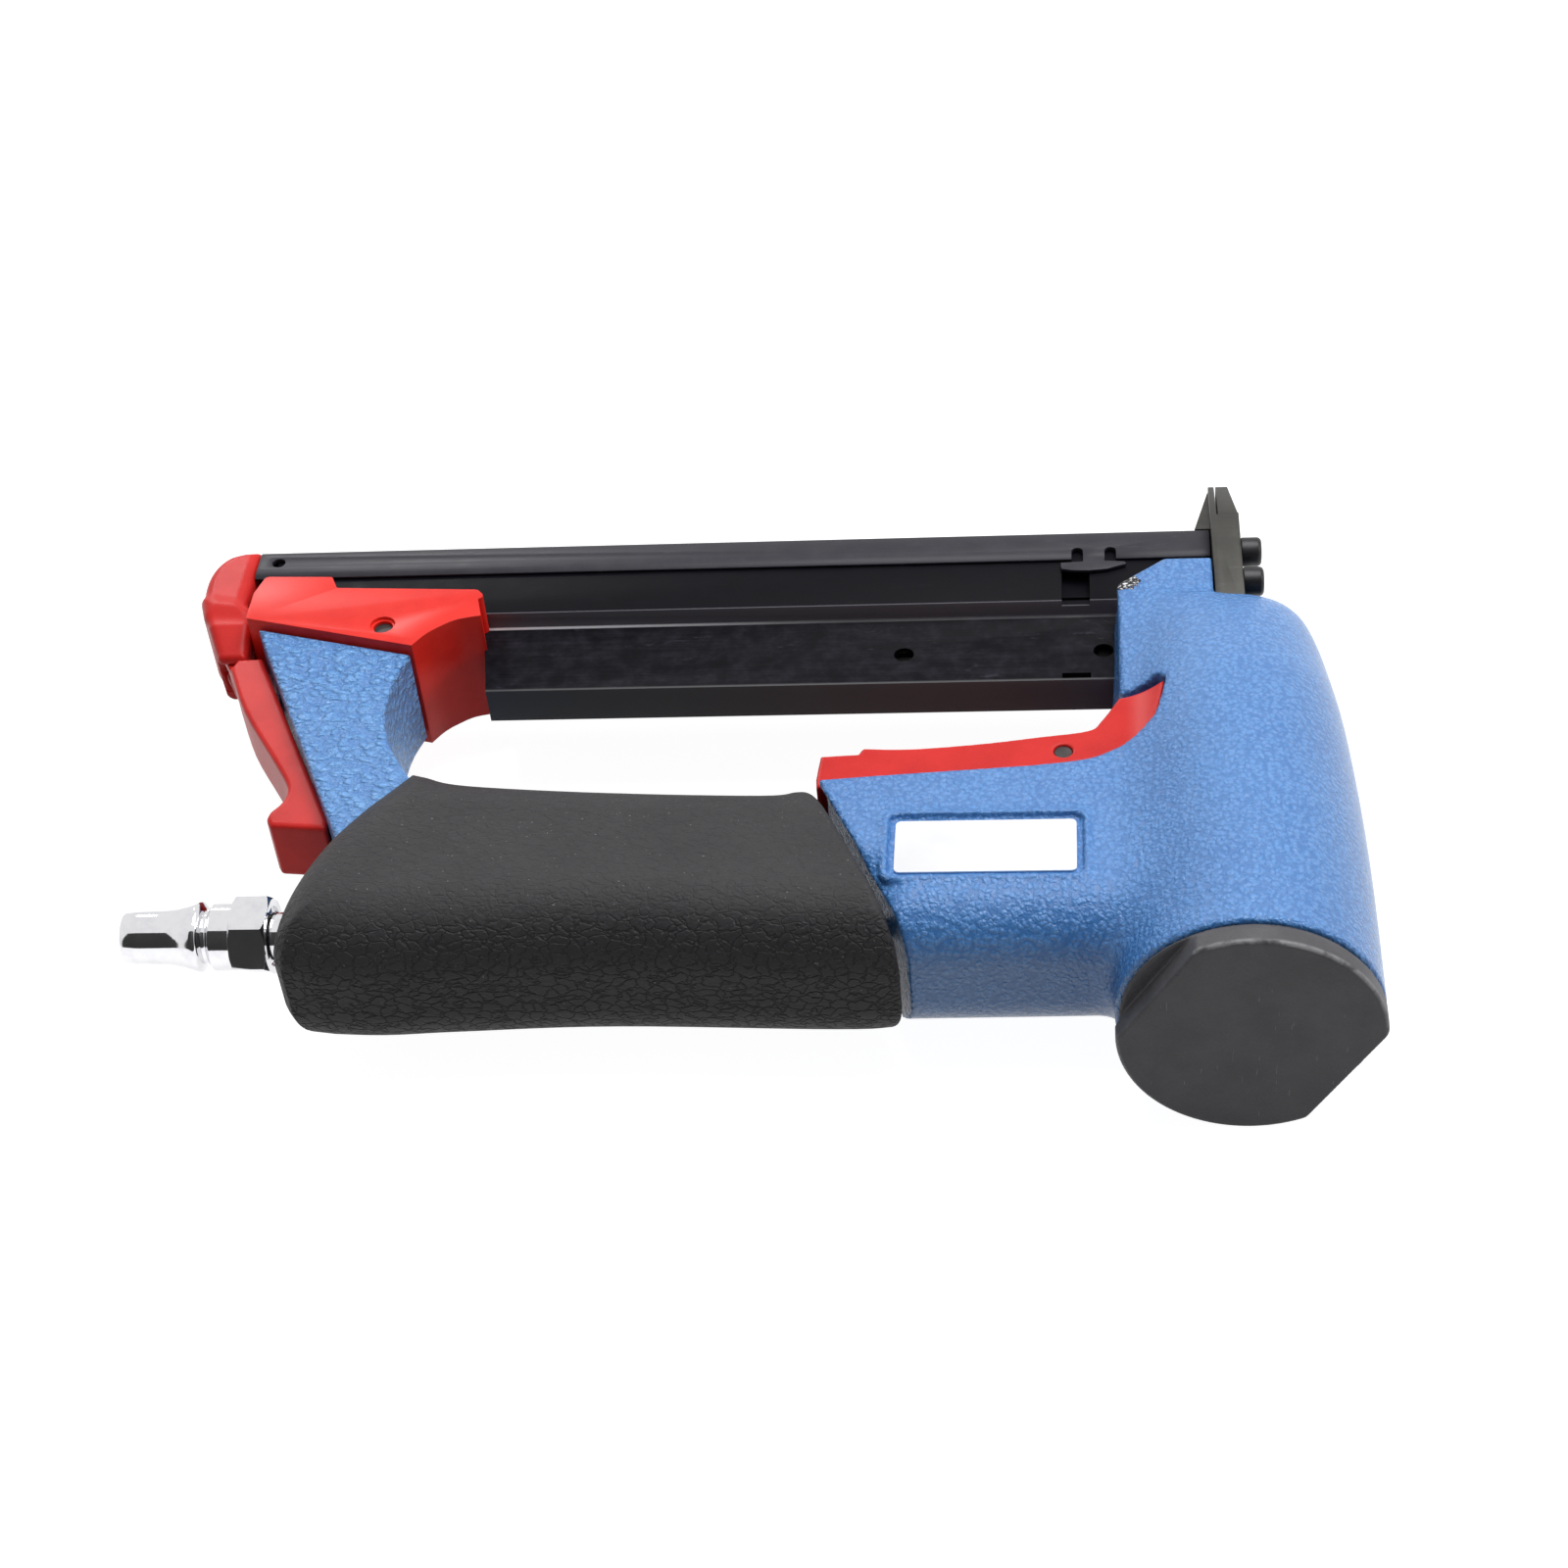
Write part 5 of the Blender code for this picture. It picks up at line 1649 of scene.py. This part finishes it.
@dataclass
class RearMount:
    """Red bracket, slide end cap and latch lever."""

    bracket_half: float = 12.7
    saddle: Corners = (
        (-193.3, 103.7, 0.6), (-193.3, 112.0, 1.5), (-191.8, 117.2, 1.0), (-178.0, 116.6, 0.4),
        (-176.4, 113.0, 0.3), (-147.4, 111.4, 1.5), (-145.2, 108.6, 1.5),
    )
    arc: Outline = ((-145.6, 103.1), (-150.2, 102.0), (-153.3, 100.0), (-155.9, 97.6), (-158.1, 94.2))
    arc_steps: int = 4
    lip: Space = ((-147.0, 103.6, -12.6), (-143.9, 108.4, -9.2))
    way: Space = ((-200.0, 110.0, -7.6), (-130.0, 130.0, 7.6))
    pin_at: Point = (-165.0, 100.9)
    pin_r: float = 1.95
    sink_r: float = 2.5
    sink: float = 0.7
    bracket_edge: tuple[float, int, float] = (0.55, 3, 32.0)
    cap_front: Outline = ((-196.3, 110.8), (-196.3, 131.2))
    cap_back: Outline = (
        (-199.6, 131.1), (-203.0, 129.6), (-205.2, 126.2),
        (-206.0, 121.6), (-205.4, 115.8), (-203.0, 111.2),
    )
    cap_half: float = 9.0
    cap_edge: float = 2.2
    hood: Corners = (
        (-205.0, 115.0, 0.0), (-204.3, 111.0, 3.0), (-199.6, 99.6, 1.5),
        (-193.8, 99.6, 0.5), (-193.8, 112.0, 0.0),
    )
    hood_half: float = 6.4
    hood_flare: float = 2.2
    hood_flare_y: Span = (101.0, 6.0)
    hood_edge: float = 1.6
    hood_fillet: float = 3.4
    far_cheek: Point = (-4.6, 101.8)
    cheek_gap: Point = (4.3, 108.1)
    cap_space: Space = ((-207.2, 98.4, -10.0), (-192.5, 132.2, 10.0))
    cap_step: float = 0.36
    lever_inner: Outline = ((-190.2, 99.0), (-167.9, 50.6), (-168.0, 48.6))
    lever_outer: Outline = (
        (-196.2, 95.9), (-190.7, 83.0), (-183.5, 70.9), (-178.8, 62.9), (-177.5, 59.3),
        (-178.1, 56.0), (-179.6, 53.7), (-179.9, 51.6), (-178.9, 49.7),
    )
    lever_steps: int = 4
    lever_top: Point = (-195.2, 98.8)
    lever_half: float = 6.5
    lever_edge: float = 0.9
    neck: Corners = (
        (-200.1, 107.1, 2.6), (-200.1, 103.5, 0.0), (-195.4, 95.0, 0.0), (-190.5, 95.0, 0.0),
        (-191.6, 100.0, 0.0), (-193.9, 102.0, 0.0), (-193.9, 107.1, 2.6),
    )
    neck_half: float = 4.0
    neck_edge: float = 0.4
    spring_gap: Point = (1.9, 100.4)
    hinge_at: Point = (-197.0, 104.0)
    hinge_r: float = 1.6
    lever_space: Space = ((-201.5, 47.0, -7.5), (-167.0, 108.5, 7.5))
    lever_step: float = 0.4

    def bracket(self) -> bpy.types.Mesh:
        """Return the bracket with its lip, the rail's way and the pin's sunk hole.

        Returns:
            The mesh in the row frame.
        """
        half = self.bracket_half
        outline = [*rounded(self.saddle, self.arc_steps), *curve_through(self.arc, self.arc_steps)]
        blank = Blank("rail_bracket", extruded(outline, "z", -half, half))
        blank.work(bar(*zip(*self.lip)), "UNION")
        blank.work(bar(*zip(*self.way)))
        for ends in both_sides(half - self.sink, half + 1.0):
            blank.work(drum(self.sink_r, ends, "z", self.pin_at, FINE_SIDES))
        blank.work(drum(self.pin_r, THROUGH, "z", self.pin_at, FINE_SIDES))
        return blank.edge(*self.bracket_edge).mesh()

    def end_cap(self, x: Array, y: Array, z: Array) -> Array:
        """Return the slide's end cap with the hood over the lever's pin.

        Args:
            x: Places along the handle, in tool mm.
            y: Places along the head.
            z: Places off the mid-plane.

        Returns:
            Signed distance, negative inside.
        """
        made = slab(x, y, z, [*self.cap_front, *curve_through(self.cap_back)], self.cap_half, self.cap_edge)
        start, length = self.hood_flare_y
        half = self.hood_half + np.clip((y - start) / length, 0.0, 1.0) * self.hood_flare
        hood = both(inside_outline(x, y, rounded(self.hood)), np.abs(z) - half, self.hood_edge)
        made = blend(made, hood, self.hood_fillet)
        made = np.maximum(made, -both(z - self.far_cheek[0], y - self.far_cheek[1]))
        return np.maximum(made, -both(np.abs(z) - self.cheek_gap[0], y - self.cheek_gap[1]))

    def lever(self, x: Array, y: Array, z: Array) -> Array:
        """Return the latch lever with its neck.

        Args:
            x: Places along the handle, in tool mm.
            y: Places along the head.
            z: Places off the mid-plane.

        Returns:
            Signed distance, negative inside.
        """
        outer = reversed(curve_through(self.lever_outer, self.lever_steps))
        made = slab(x, y, z, [*self.lever_inner, *outer, self.lever_top], self.lever_half, self.lever_edge)
        made = np.minimum(made, slab(x, y, z, rounded(self.neck), self.neck_half, self.neck_edge))
        made = np.maximum(made, -both(np.abs(z) - self.spring_gap[0], self.spring_gap[1] - y))
        return np.maximum(made, -rod_along(x, y, self.hinge_at, self.hinge_r))

    def build(self) -> None:
        """Make the three red mouldings."""
        finished("rail_bracket", self.bracket(), RED, Body.TOOL, ["rear_bracket"])
        mesh = moulded("slide_cap", self.end_cap, self.cap_space, self.cap_step)
        finished("slide_cap", mesh, DARK_RED_AND_SHADE, Body.SLIDE, ["slide_end_cap"])
        mesh = moulded("latch_handle", self.lever, self.lever_space, self.lever_step)
        # The lever's darker red is painted shade
        finished("latch_handle", mesh, DARK_RED_AND_SHADE, Body.LATCH, ["latch_lever"])


@dataclass
class Magazine:
    """Folded steel rail, and the channel that slides along it."""

    rail_x: Span = (-192.5, -2.1)
    rail_side: Outline = (
        (90.3, 3.8), (110.3, 3.8), (110.3, 7.3), (129.5, 7.3),
        (129.5, 6.6), (112.0, 6.6), (112.0, 2.6), (92.0, 2.6),
    )
    rib_end: Outline = ((-200.0, 80.0), (-142.6, 80.0), (-147.2, 110.3), (-200.0, 110.3))
    rib_front: Space = ((-6.0, 80.0, -6.0), (5.0, 110.3, 6.0))
    hole_r: float = 1.95
    stop_x: Span = (-31.5, -26.0)
    stop_y: Span = (109.0, 120.4)
    stop_z: Span = (6.0, 9.0)
    notch_y: Span = (90.9, 92.4)
    notch_z: Span = (1.0, 6.0)
    rail_edge: float = 0.3
    slide_x: Span = (-196.2, -2.1)
    slide_outer: Outline = (
        (122.7, 7.85), (123.3, 8.2), (124.2, 8.37), (125.2, 8.4), (130.2, 8.4), (130.7, 8.2), (130.9, 7.7),
    )
    slide_inner: Outline = ((129.9, 7.5), (122.7, 7.5))
    eye_at: Point = (-192.0, 127.2)
    eye_r: float = 1.4
    tab: Outline = (
        (-27.2, 123.6), (-27.2, 121.6), (-31.6, 121.3), (-31.5, 119.4), (-29.5, 118.9), (-26.1, 118.7),
        (-22.5, 119.1), (-18.7, 120.6), (-19.0, 121.3), (-23.0, 121.7), (-23.0, 123.6),
    )
    tab_z: Span = (7.55, 8.15)
    catch_x: Span = (-28.36, -21.8)
    catch_y: Span = (121.9, 124.6)
    catch_r: float = 1.15
    catch_points: int = 13
    slide_edge: float = 0.2

    def rail(self) -> bpy.types.Mesh:
        """Return the rail with its rib, holes and stop slots.

        Returns:
            The mesh in the row frame.
        """
        blank = Blank("magazine_channel", extruded(mirrored(self.rail_side), "x", *self.rail_x))
        blank.work(extruded(self.rib_end, "z", self.rib_front[0][2], self.rib_front[1][2]))
        blank.work(bar(*zip(*self.rib_front)))
        for x, y, z in RIB_HOLES:
            blank.work(drum(self.hole_r, sorted((z * 0.7, z * 2.0)), "z", (x, y), FINE_SIDES))
        for stop, notch in zip(both_sides(*self.stop_z), both_sides(*self.notch_z)):
            blank.work(bar(self.stop_x, self.stop_y, stop))
            blank.work(bar(self.stop_x, self.notch_y, notch))
        return blank.edge(self.rail_edge).mesh()

    def slide(self) -> bpy.types.Mesh:
        """Return the sliding channel with its rolled lips, catch slots and stop tabs.

        Returns:
            The mesh in the row frame.
        """
        back = [(y, -z) for y, z in reversed(self.slide_inner)]
        section = [*mirrored(self.slide_outer), *back, *self.slide_inner]
        blank = Blank("slide_sheath", extruded(section, "x", *self.slide_x))
        blank.work(drum(self.eye_r, THROUGH, "z", self.eye_at, PLAIN_SIDES))
        for span in both_sides(*self.tab_z):
            blank.work(extruded(self.tab, "z", *span), "UNION")
        foot, top = self.catch_y
        for x in self.catch_x:
            turns = np.linspace(0.0, math.pi, self.catch_points)
            arch = [(x + self.catch_r * math.cos(t), top + self.catch_r * math.sin(t)) for t in turns]
            blank.work(extruded([*arch, (x - self.catch_r, foot), (x + self.catch_r, foot)], "z", *THROUGH))
        return blank.edge(self.slide_edge).mesh()

    def build(self) -> None:
        """Make both channels."""
        finished("magazine_channel", self.rail(), RAIL_STEEL, Body.TOOL, ["magazine_rail"])
        finished("slide_sheath", self.slide(), SHEATH_STEEL, Body.SLIDE, ["slide_channel"])


@dataclass
class Nose:
    """Steel nose plates and the screws that hold them."""

    plate_x: Span = (-0.5, 3.8)
    guide_x: Span = (-1.8, -0.6)
    start: float = 103.9
    half: float = 11.8
    taper: float = 131.7
    end: float = 143.5
    tip_half: float = 9.4
    slope: Outline = ((4.8, -1.5), (3.6, 0.0))
    slope_end: Point = (2.1, 0.1)
    groove_half: float = 6.65
    groove_floor: float = 0.8
    shoulder: float = 131.2
    flange: float = 0.6
    flange_back: float = 1.0
    flange_room: float = 0.8
    slot_half: float = 6.6
    slot_end: float = 131.1
    tip_gap: float = -0.3
    wedge: Outline = ((-4.9, 131.4), (-1.0, 131.4), (-1.0, 143.5), (-1.9, 143.5))
    wedge_half: float = 8.0
    edge: float = 0.3
    clear_x: Span = (-5.0, 5.0)
    clear_y: Span = (100.0, 150.0)
    screws_y: Span = (112.2, 121.6)
    screw_z: float = 9.5
    screw_profile: Outline = (
        (0.0, -2.2), (1.45, -2.2), (1.45, 0.05), (2.75, 0.05), (2.9, 0.2), (2.9, 3.2),
        (2.72, 3.65), (2.3, 3.95), (1.9, 4.0), (1.75, 3.85), (1.7, 2.0), (0.0, 2.0),
    )
    screw_sides: int = 40

    def face(self) -> list[Point]:
        """Return the plates' outline seen from the front."""
        return mirrored([(self.start, self.half), (self.taper, self.half), (self.end, self.tip_half)])

    def places(self) -> list[Place]:
        """Return where the screw heads sit."""
        return [(self.plate_x[1], y, sign * self.screw_z) for y in self.screws_y for sign in (1, -1)]

    def plate(self) -> bpy.types.Mesh:
        """Return the front plate with its sloped tip and driver groove.

        Returns:
            The mesh in the row frame.
        """
        blank = Blank("nose_plate", extruded(self.face(), "x", *self.plate_x))
        back, far_y = self.clear_x[0], self.clear_y[1]
        tip_x, past = self.slope_end
        slope = [(x, self.taper + y) for x, y in self.slope]
        slope += [(tip_x, self.end + past), (tip_x, far_y), (self.slope[0][0], far_y)]
        blank.work(extruded(slope, "z", *THROUGH))
        blank.work(bar((back, self.groove_floor), self.clear_y, (-self.groove_half, self.groove_half), "x"))
        for span in both_sides(self.half - self.flange, self.half):
            reach = (self.guide_x[0], self.plate_x[1] - self.flange_back)
            blank.work(bar(reach, (self.start, self.shoulder), span, "x"), "UNION")
        blank.work(bar((back, self.tip_gap), (self.shoulder, far_y), THROUGH, "x"))
        return blank.edge(self.edge).mesh()

    def guide(self) -> bpy.types.Mesh:
        """Return the rear guide with its wedge.

        Returns:
            The mesh in the row frame.
        """
        blank = Blank("nose_guide", extruded(self.face(), "x", *self.guide_x))
        low_y = self.clear_y[0]
        for span in both_sides(self.half - self.flange_room, self.half + 1.0):
            blank.work(bar(self.clear_x, (low_y, self.shoulder), span))
        blank.work(bar(self.clear_x, (low_y, self.slot_end), (-self.slot_half, self.slot_half)))
        blank.work(extruded(self.wedge, "z", -self.wedge_half, self.wedge_half), "UNION")
        return blank.edge(self.edge).mesh()

    def screw(self) -> bpy.types.Mesh:
        """Return one socket screw at zero, its head towards +X.

        Returns:
            The pattern's mesh, in metres.
        """
        bm = lathe(self.screw_profile, "x", (0.0, 0.0), self.screw_sides)
        bmesh.ops.scale(bm, verts=bm.verts, vec=(MM, MM, MM))
        mesh = bpy.data.meshes.new("nose_screw_pattern")
        bm.to_mesh(mesh)
        bm.free()
        return smoothed(mesh, SHARP)

    def build(self) -> None:
        """Make the plates and set the screws."""
        finished("nose_plate", self.plate(), NOSE_STEEL, Body.TOOL, ["nose_front_plate"])
        finished("nose_guide", self.guide(), NOSE_STEEL, Body.TOOL, ["nose_rear_guide"])
        mesh = repeated("nose_screws", self.screw(), self.places(), SCREW_STEEL)
        finished("nose_screws", mesh, SCREW_STEEL, Body.TOOL, [f"nose_screw_{i}" for i in range(1, 5)])


@dataclass
class AirInlet:
    """Plated quick plug at the handle's end."""

    axis: Point = (27.0, 0.0)
    end: float = -202.5
    # Radius and place past the end, then radius and place along X
    mouth: Outline = ((2.6, 0.3), (2.9, 0.0), (4.3, 0.0), (4.75, 0.2), (5.0, 0.7))
    barrel: Outline = (
        (5.05, -199.0), (5.1, -196.0), (5.25, -194.0), (5.6, -192.0), (6.1, -190.2), (6.42, -189.0),
        (6.5, -188.6), (6.5, -188.1), (6.36, -187.8), (5.5, -187.25), (5.1, -187.05), (5.0, -186.7),
        (5.1, -186.35), (5.9, -185.8), (6.25, -185.6), (6.4, -185.4), (6.4, -181.0), (6.0, -180.8),
        (6.0, -175.5), (4.4, -175.0), (4.4, -163.4), (2.6, -163.4),
    )
    sides: int = 72
    hex_r: float = 7.8
    hex_turn: float = 36.0
    hex_x: Span = (-181.6, -174.8)
    # Radius and place inwards from each end of the hexagon
    chamfer: Outline = ((0.0, -0.1), (6.6, -0.1), (7.0, 0.05), (7.8, 0.55))
    hex_bore: float = 5.5
    hex_bore_sides: int = 48
    hex_edge: tuple[float, int, float] = (0.14, 2, 20.0)
    barrel_sharp: float = 34.0
    hex_sharp: float = 12.0

    def nut(self) -> bpy.types.Mesh:
        """Return the hexagon with its chamfered corners.

        Returns:
            The mesh in the row frame.
        """
        turns = [math.radians(self.hex_turn + 60 * i) for i in range(6)]
        corners = [(self.axis[0] - self.hex_r * math.sin(t), self.hex_r * math.cos(t)) for t in turns]
        low, high = self.hex_x
        blank = Blank("plug_nut", extruded(corners, "x", low, high))
        turning = [(r, low + inward) for r, inward in self.chamfer]
        turning += [(r, high - inward) for r, inward in reversed(self.chamfer)]
        blank.work(lathe(turning, "x", self.axis, self.sides), "INTERSECT")
        blank.work(drum(self.hex_bore, (low - 1.0, high + 1.0), "x", self.axis, self.hex_bore_sides))
        return blank.edge(*self.hex_edge).mesh(self.hex_sharp)

    def plug(self) -> bpy.types.Mesh:
        """Return the plug with its sleeve, groove, collar and hexagon.

        Returns:
            The mesh in the row frame.
        """
        profile = [*((r, self.end + past) for r, past in self.mouth), *self.barrel]
        blank = Blank("quick_plug", lathe(profile, "x", self.axis, self.sides))
        made = bmesh.new()
        made.from_mesh(blank.mesh(self.barrel_sharp))
        made.from_mesh(self.nut())
        mesh = bpy.data.meshes.new("quick_plug")
        made.to_mesh(mesh)
        made.free()
        return mesh

    def build(self) -> None:
        """Make the plug."""
        finished("quick_plug", self.plug(), CHROME, Body.TOOL, ["air_plug"])


@dataclass
class LabelPlate:
    """Bare white plate in the handle's window."""

    corner: float = 1.0
    z: Span = (14.4, 14.8)
    edge: float = 0.12

    def build(self) -> None:
        """Make the plate."""
        x0, x1, y0, y1 = LABEL_AREA
        outline = rounded([(x, y, self.corner) for x, y in ((x0, y0), (x1, y0), (x1, y1), (x0, y1))])
        mesh = Blank("bare_label", extruded(outline, "z", *self.z)).edge(self.edge).mesh()
        finished("bare_label", mesh, LABEL, Body.TOOL, ["label_plate"])


@dataclass
class Spring:
    """Coil spring, wire and travel in mm."""

    name: str
    node: str
    joint: str
    axis: int
    turns: float
    wire: float
    travel: float
    finish: Finish
    path_steps: int = 28
    wire_sides: int = 12
    sharp: float = 50.0

    def wound(self, radius: float, length: float) -> bpy.types.Mesh:
        """Wind the coil along +Z through Geometry Nodes.

        Args:
            radius: Radius of the wire's centre line, in metres.
            length: Length of the centre line's coil, in metres.

        Returns:
            The coil's plain mesh.
        """
        inputs = {
            "Turns": ("Float", self.turns),
            "Radius": ("Float", radius),
            "Length": ("Float", length),
            "Wire": ("Float", self.wire * MM),
            "Path Steps": ("Int", self.path_steps),
            "Wire Sides": ("Int", self.wire_sides),
            "Closed Ends": ("Bool", True),
        }
        nodes = {
            "path": "GeometryNodeCurveSpiral",
            "ring": "GeometryNodeCurvePrimitiveCircle",
            "sweep": "GeometryNodeCurveToMesh",
        }
        links = (
            ("in", "Turns", "path", "Rotations"),
            ("in", "Radius", "path", "Start Radius"),
            ("in", "Radius", "path", "End Radius"),
            ("in", "Length", "path", "Height"),
            ("in", "Path Steps", "path", "Resolution"),
            ("in", "Wire", "ring", "Radius"),
            ("in", "Wire Sides", "ring", "Resolution"),
            ("in", "Closed Ends", "sweep", "Fill Caps"),
            ("path", "Curve", "sweep", "Curve"),
            ("ring", "Curve", "sweep", "Profile Curve"),
            ("sweep", "Mesh", "real", "Geometry"),
        )
        start = bpy.data.meshes.new(f"{self.name}_start")
        return grown(self.name, start, inputs, nodes, links, self.finish)

    def build(self) -> None:
        """Wind the coil where its node lies."""
        low, high = (np.array(corner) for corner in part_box(self.node))
        wire = self.wire * MM
        across = (self.axis + 1) % 3
        length = high[self.axis] - low[self.axis]
        mesh = self.wound((high[across] - low[across]) / 2 - wire, length - 2 * wire)
        places = np.array([vert.co for vert in mesh.vertices])
        foot = (low + high) / 2
        foot[self.axis] = low[self.axis] + wire
        mesh.vertices.foreach_set("co", (np.roll(places, self.axis + 1, axis=1) + foot).ravel())
        mesh.update()
        piece = finished(self.name, smoothed(mesh, self.sharp), self.finish, Body.TOOL, [self.node])
        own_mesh(piece)


# Light, floor and camera


@dataclass
class Studio:
    """Plain pale floor, soft lamps and the photograph's camera."""

    camera_at: Place = (65.08, -415.40, 392.90)
    right: Place = (0.99447, 0.06590, -0.08180)
    up: Place = (0.01646, 0.67133, 0.74098)
    forward: Place = (-0.10375, 0.73823, -0.66653)
    lens: float = 67.5
    sensor: float = 36.0
    clip_start: float = 0.01
    ambient: float = 0.18
    sky_tint: Colour = (0.96, 0.98, 1.0)
    floor_reach: float = 4.0
    floor_z: float = -0.0002
    floor_grey: float = 0.35
    floor_glow: float = 0.96
    flag_x: float = 0.9
    flag_y_z: tuple[Point, Point] = ((-0.9, 0.004), (-0.55, 1.05))
    flag_black: float = 0.01
    # Name, place and size in metres, and power in watts
    lamps: tuple[tuple[str, Place, float, float], ...] = (
        ("key_lamp", (0.3, 0.3, 1.15), 0.8, 13.6),
        ("nose_lamp", (0.9, 0.1, 0.42), 0.3, 1.5),
        ("groove_lamp", (-0.47, 0.87, 0.58), 0.1, 2.0),
        ("glint_lamp", (-0.2, -0.1, 1.2), 0.1, 0.9),
    )

    def camera(self) -> None:
        """Set the camera where the photograph was taken."""
        data = bpy.data.cameras.new("photo_camera")
        data.lens = self.lens
        data.sensor_width = self.sensor
        data.clip_start = self.clip_start
        turn = Matrix((self.right, self.up, [-part for part in self.forward])).transposed()
        camera = placed("photo_camera", data)
        camera.matrix_world = Matrix.Translation(Vector(self.camera_at) * MM) @ turn.to_4x4()
        bpy.context.scene.camera = camera

    def lamp(self, name: str, at: Place, size: float, power: float) -> None:
        """Hang one soft square lamp that faces the tool.

        Args:
            name: Lamp name.
            at: Place in metres.
            size: Side of the square in metres.
            power: Power in watts.
        """
        data = bpy.data.lights.new(name, "AREA")
        data.energy = power
        data.size = size
        lamp = placed(name, data)
        lamp.location = at
        lamp.rotation_euler = Vector(at).to_track_quat("Z", "Y").to_euler()

    def seen(self, tree: bpy.types.NodeTree) -> bpy.types.NodeSocket:
        """Return 1 for rays from the camera, off gloss or through glass.

        Args:
            tree: Node tree that the nodes go into.

        Returns:
            The socket that carries the value.
        """
        path = tree.nodes.new("ShaderNodeLightPath")
        total = path.outputs["Is Camera Ray"]
        for name in ("Is Glossy Ray", "Is Transmission Ray"):
            most = tree.nodes.new("ShaderNodeMath")
            most.operation = "MAXIMUM"
            tree.links.new(total, most.inputs[0])
            tree.links.new(path.outputs[name], most.inputs[1])
            total = most.outputs[0]
        return total

    def sky(self) -> None:
        """Light the scene evenly, with a white background where it is seen."""
        world = bpy.data.worlds.new("studio")
        bpy.context.scene.world = world
        world.use_nodes = True
        tree = world.node_tree
        plain = tree.nodes["Background"]
        plain.inputs["Color"].default_value = (*self.sky_tint, 1.0)
        plain.inputs["Strength"].default_value = self.ambient
        white = tree.nodes.new("ShaderNodeBackground")
        white.inputs["Color"].default_value = (1.0, 1.0, 1.0, 1.0)
        mix = tree.nodes.new("ShaderNodeMixShader")
        for i, socket in enumerate((self.seen(tree), plain.outputs[0], white.outputs[0])):
            tree.links.new(socket, mix.inputs[i])
        tree.links.new(mix.outputs[0], tree.nodes["World Output"].inputs["Surface"])

    def sheet(self, name: str, corners: Sequence[Place]) -> tuple[bpy.types.Object, bpy.types.NodeTree]:
        """Put one flat sheet in the scene.

        Args:
            name: Sheet name.
            corners: Its corners in metres, in turn.

        Returns:
            The sheet and its material's node tree.
        """
        mesh = bpy.data.meshes.new(name)
        mesh.from_pydata(corners, [], [tuple(range(len(corners)))])
        cover = bpy.data.materials.new(f"{name}_cover")
        cover.use_nodes = True
        mesh.materials.append(cover)
        return placed(name, mesh), cover.node_tree

    def floor(self) -> None:
        """Lay the floor just under the tool."""
        reach = self.floor_reach
        corners = ((-reach, -reach), (reach, -reach), (reach, reach), (-reach, reach))
        floor, tree = self.sheet("floor", [(x, y, self.floor_z) for x, y in corners])
        tree.nodes.remove(tree.nodes["Principled BSDF"])
        matt = tree.nodes.new("ShaderNodeBsdfDiffuse")
        matt.inputs["Color"].default_value = (*[self.floor_grey] * 3, 1.0)
        glow = tree.nodes.new("ShaderNodeEmission")
        tint = tree.nodes.new("ShaderNodeMath")
        tint.operation = "MULTIPLY"
        tint.inputs[1].default_value = self.floor_glow
        tree.links.new(self.seen(tree), tint.inputs[0])
        tree.links.new(tint.outputs[0], glow.inputs["Strength"])
        join = tree.nodes.new("ShaderNodeAddShader")
        tree.links.new(matt.outputs[0], join.inputs[0])
        tree.links.new(glow.outputs[0], join.inputs[1])
        tree.links.new(join.outputs[0], tree.nodes["Material Output"].inputs["Surface"])

    def flag(self) -> None:
        """Hang a dark flag behind the camera, which only gloss shows."""
        low, high = self.flag_y_z
        side = self.flag_x
        flag, tree = self.sheet("dark_flag", [(-side, *low), (side, *low), (side, *high), (-side, *high)])
        tree.nodes["Principled BSDF"].inputs["Base Color"].default_value = (*[self.flag_black] * 3, 1.0)
        flag.visible_camera = flag.visible_diffuse = flag.visible_shadow = flag.visible_transmission = False

    def build(self) -> None:
        """Set up the whole studio."""
        bpy.context.scene.view_settings.view_transform = "Standard"
        self.camera()
        self.sky()
        self.floor()
        self.flag()
        for lamp in self.lamps:
            self.lamp(*lamp)


def dress_nodes() -> None:
    """Give every CAD node that stays its finish."""
    for name, finish in KEPT_NODES.items():
        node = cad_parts[name]
        node.data.materials.clear()
        node.data.materials.append(finish.material())
        LOG.info("%s: kept in %s", name, finish.name)


SPRINGS = (
    Spring("head_valve_coil", "head_valve_spring", "head_valve_lift", 1, 4.0, 0.8, 3.0, STEEL),
    Spring("valve_coil", "valve_spring", "valve_stem_travel", 1, 5.0, 0.45, 2.1, STEEL),
    Spring("pusher_coil", "pusher_spring", "pusher_travel", 0, 18.0, 0.3, 100.0, DARK_PIN),
)
SHELLS = (Housing, Grip, CylinderCap, Trigger, RearMount, Magazine, Nose, AirInlet, LabelPlate)


def main() -> None:
    """Build the studio and every piece, and note the sizes."""
    logging.basicConfig(level=logging.INFO, format="%(name)s: %(message)s")
    Studio().build()
    dress_nodes()
    for part in (*(shell() for shell in SHELLS), *SPRINGS):
        part.build()


if __name__ == "__main__":
    main()
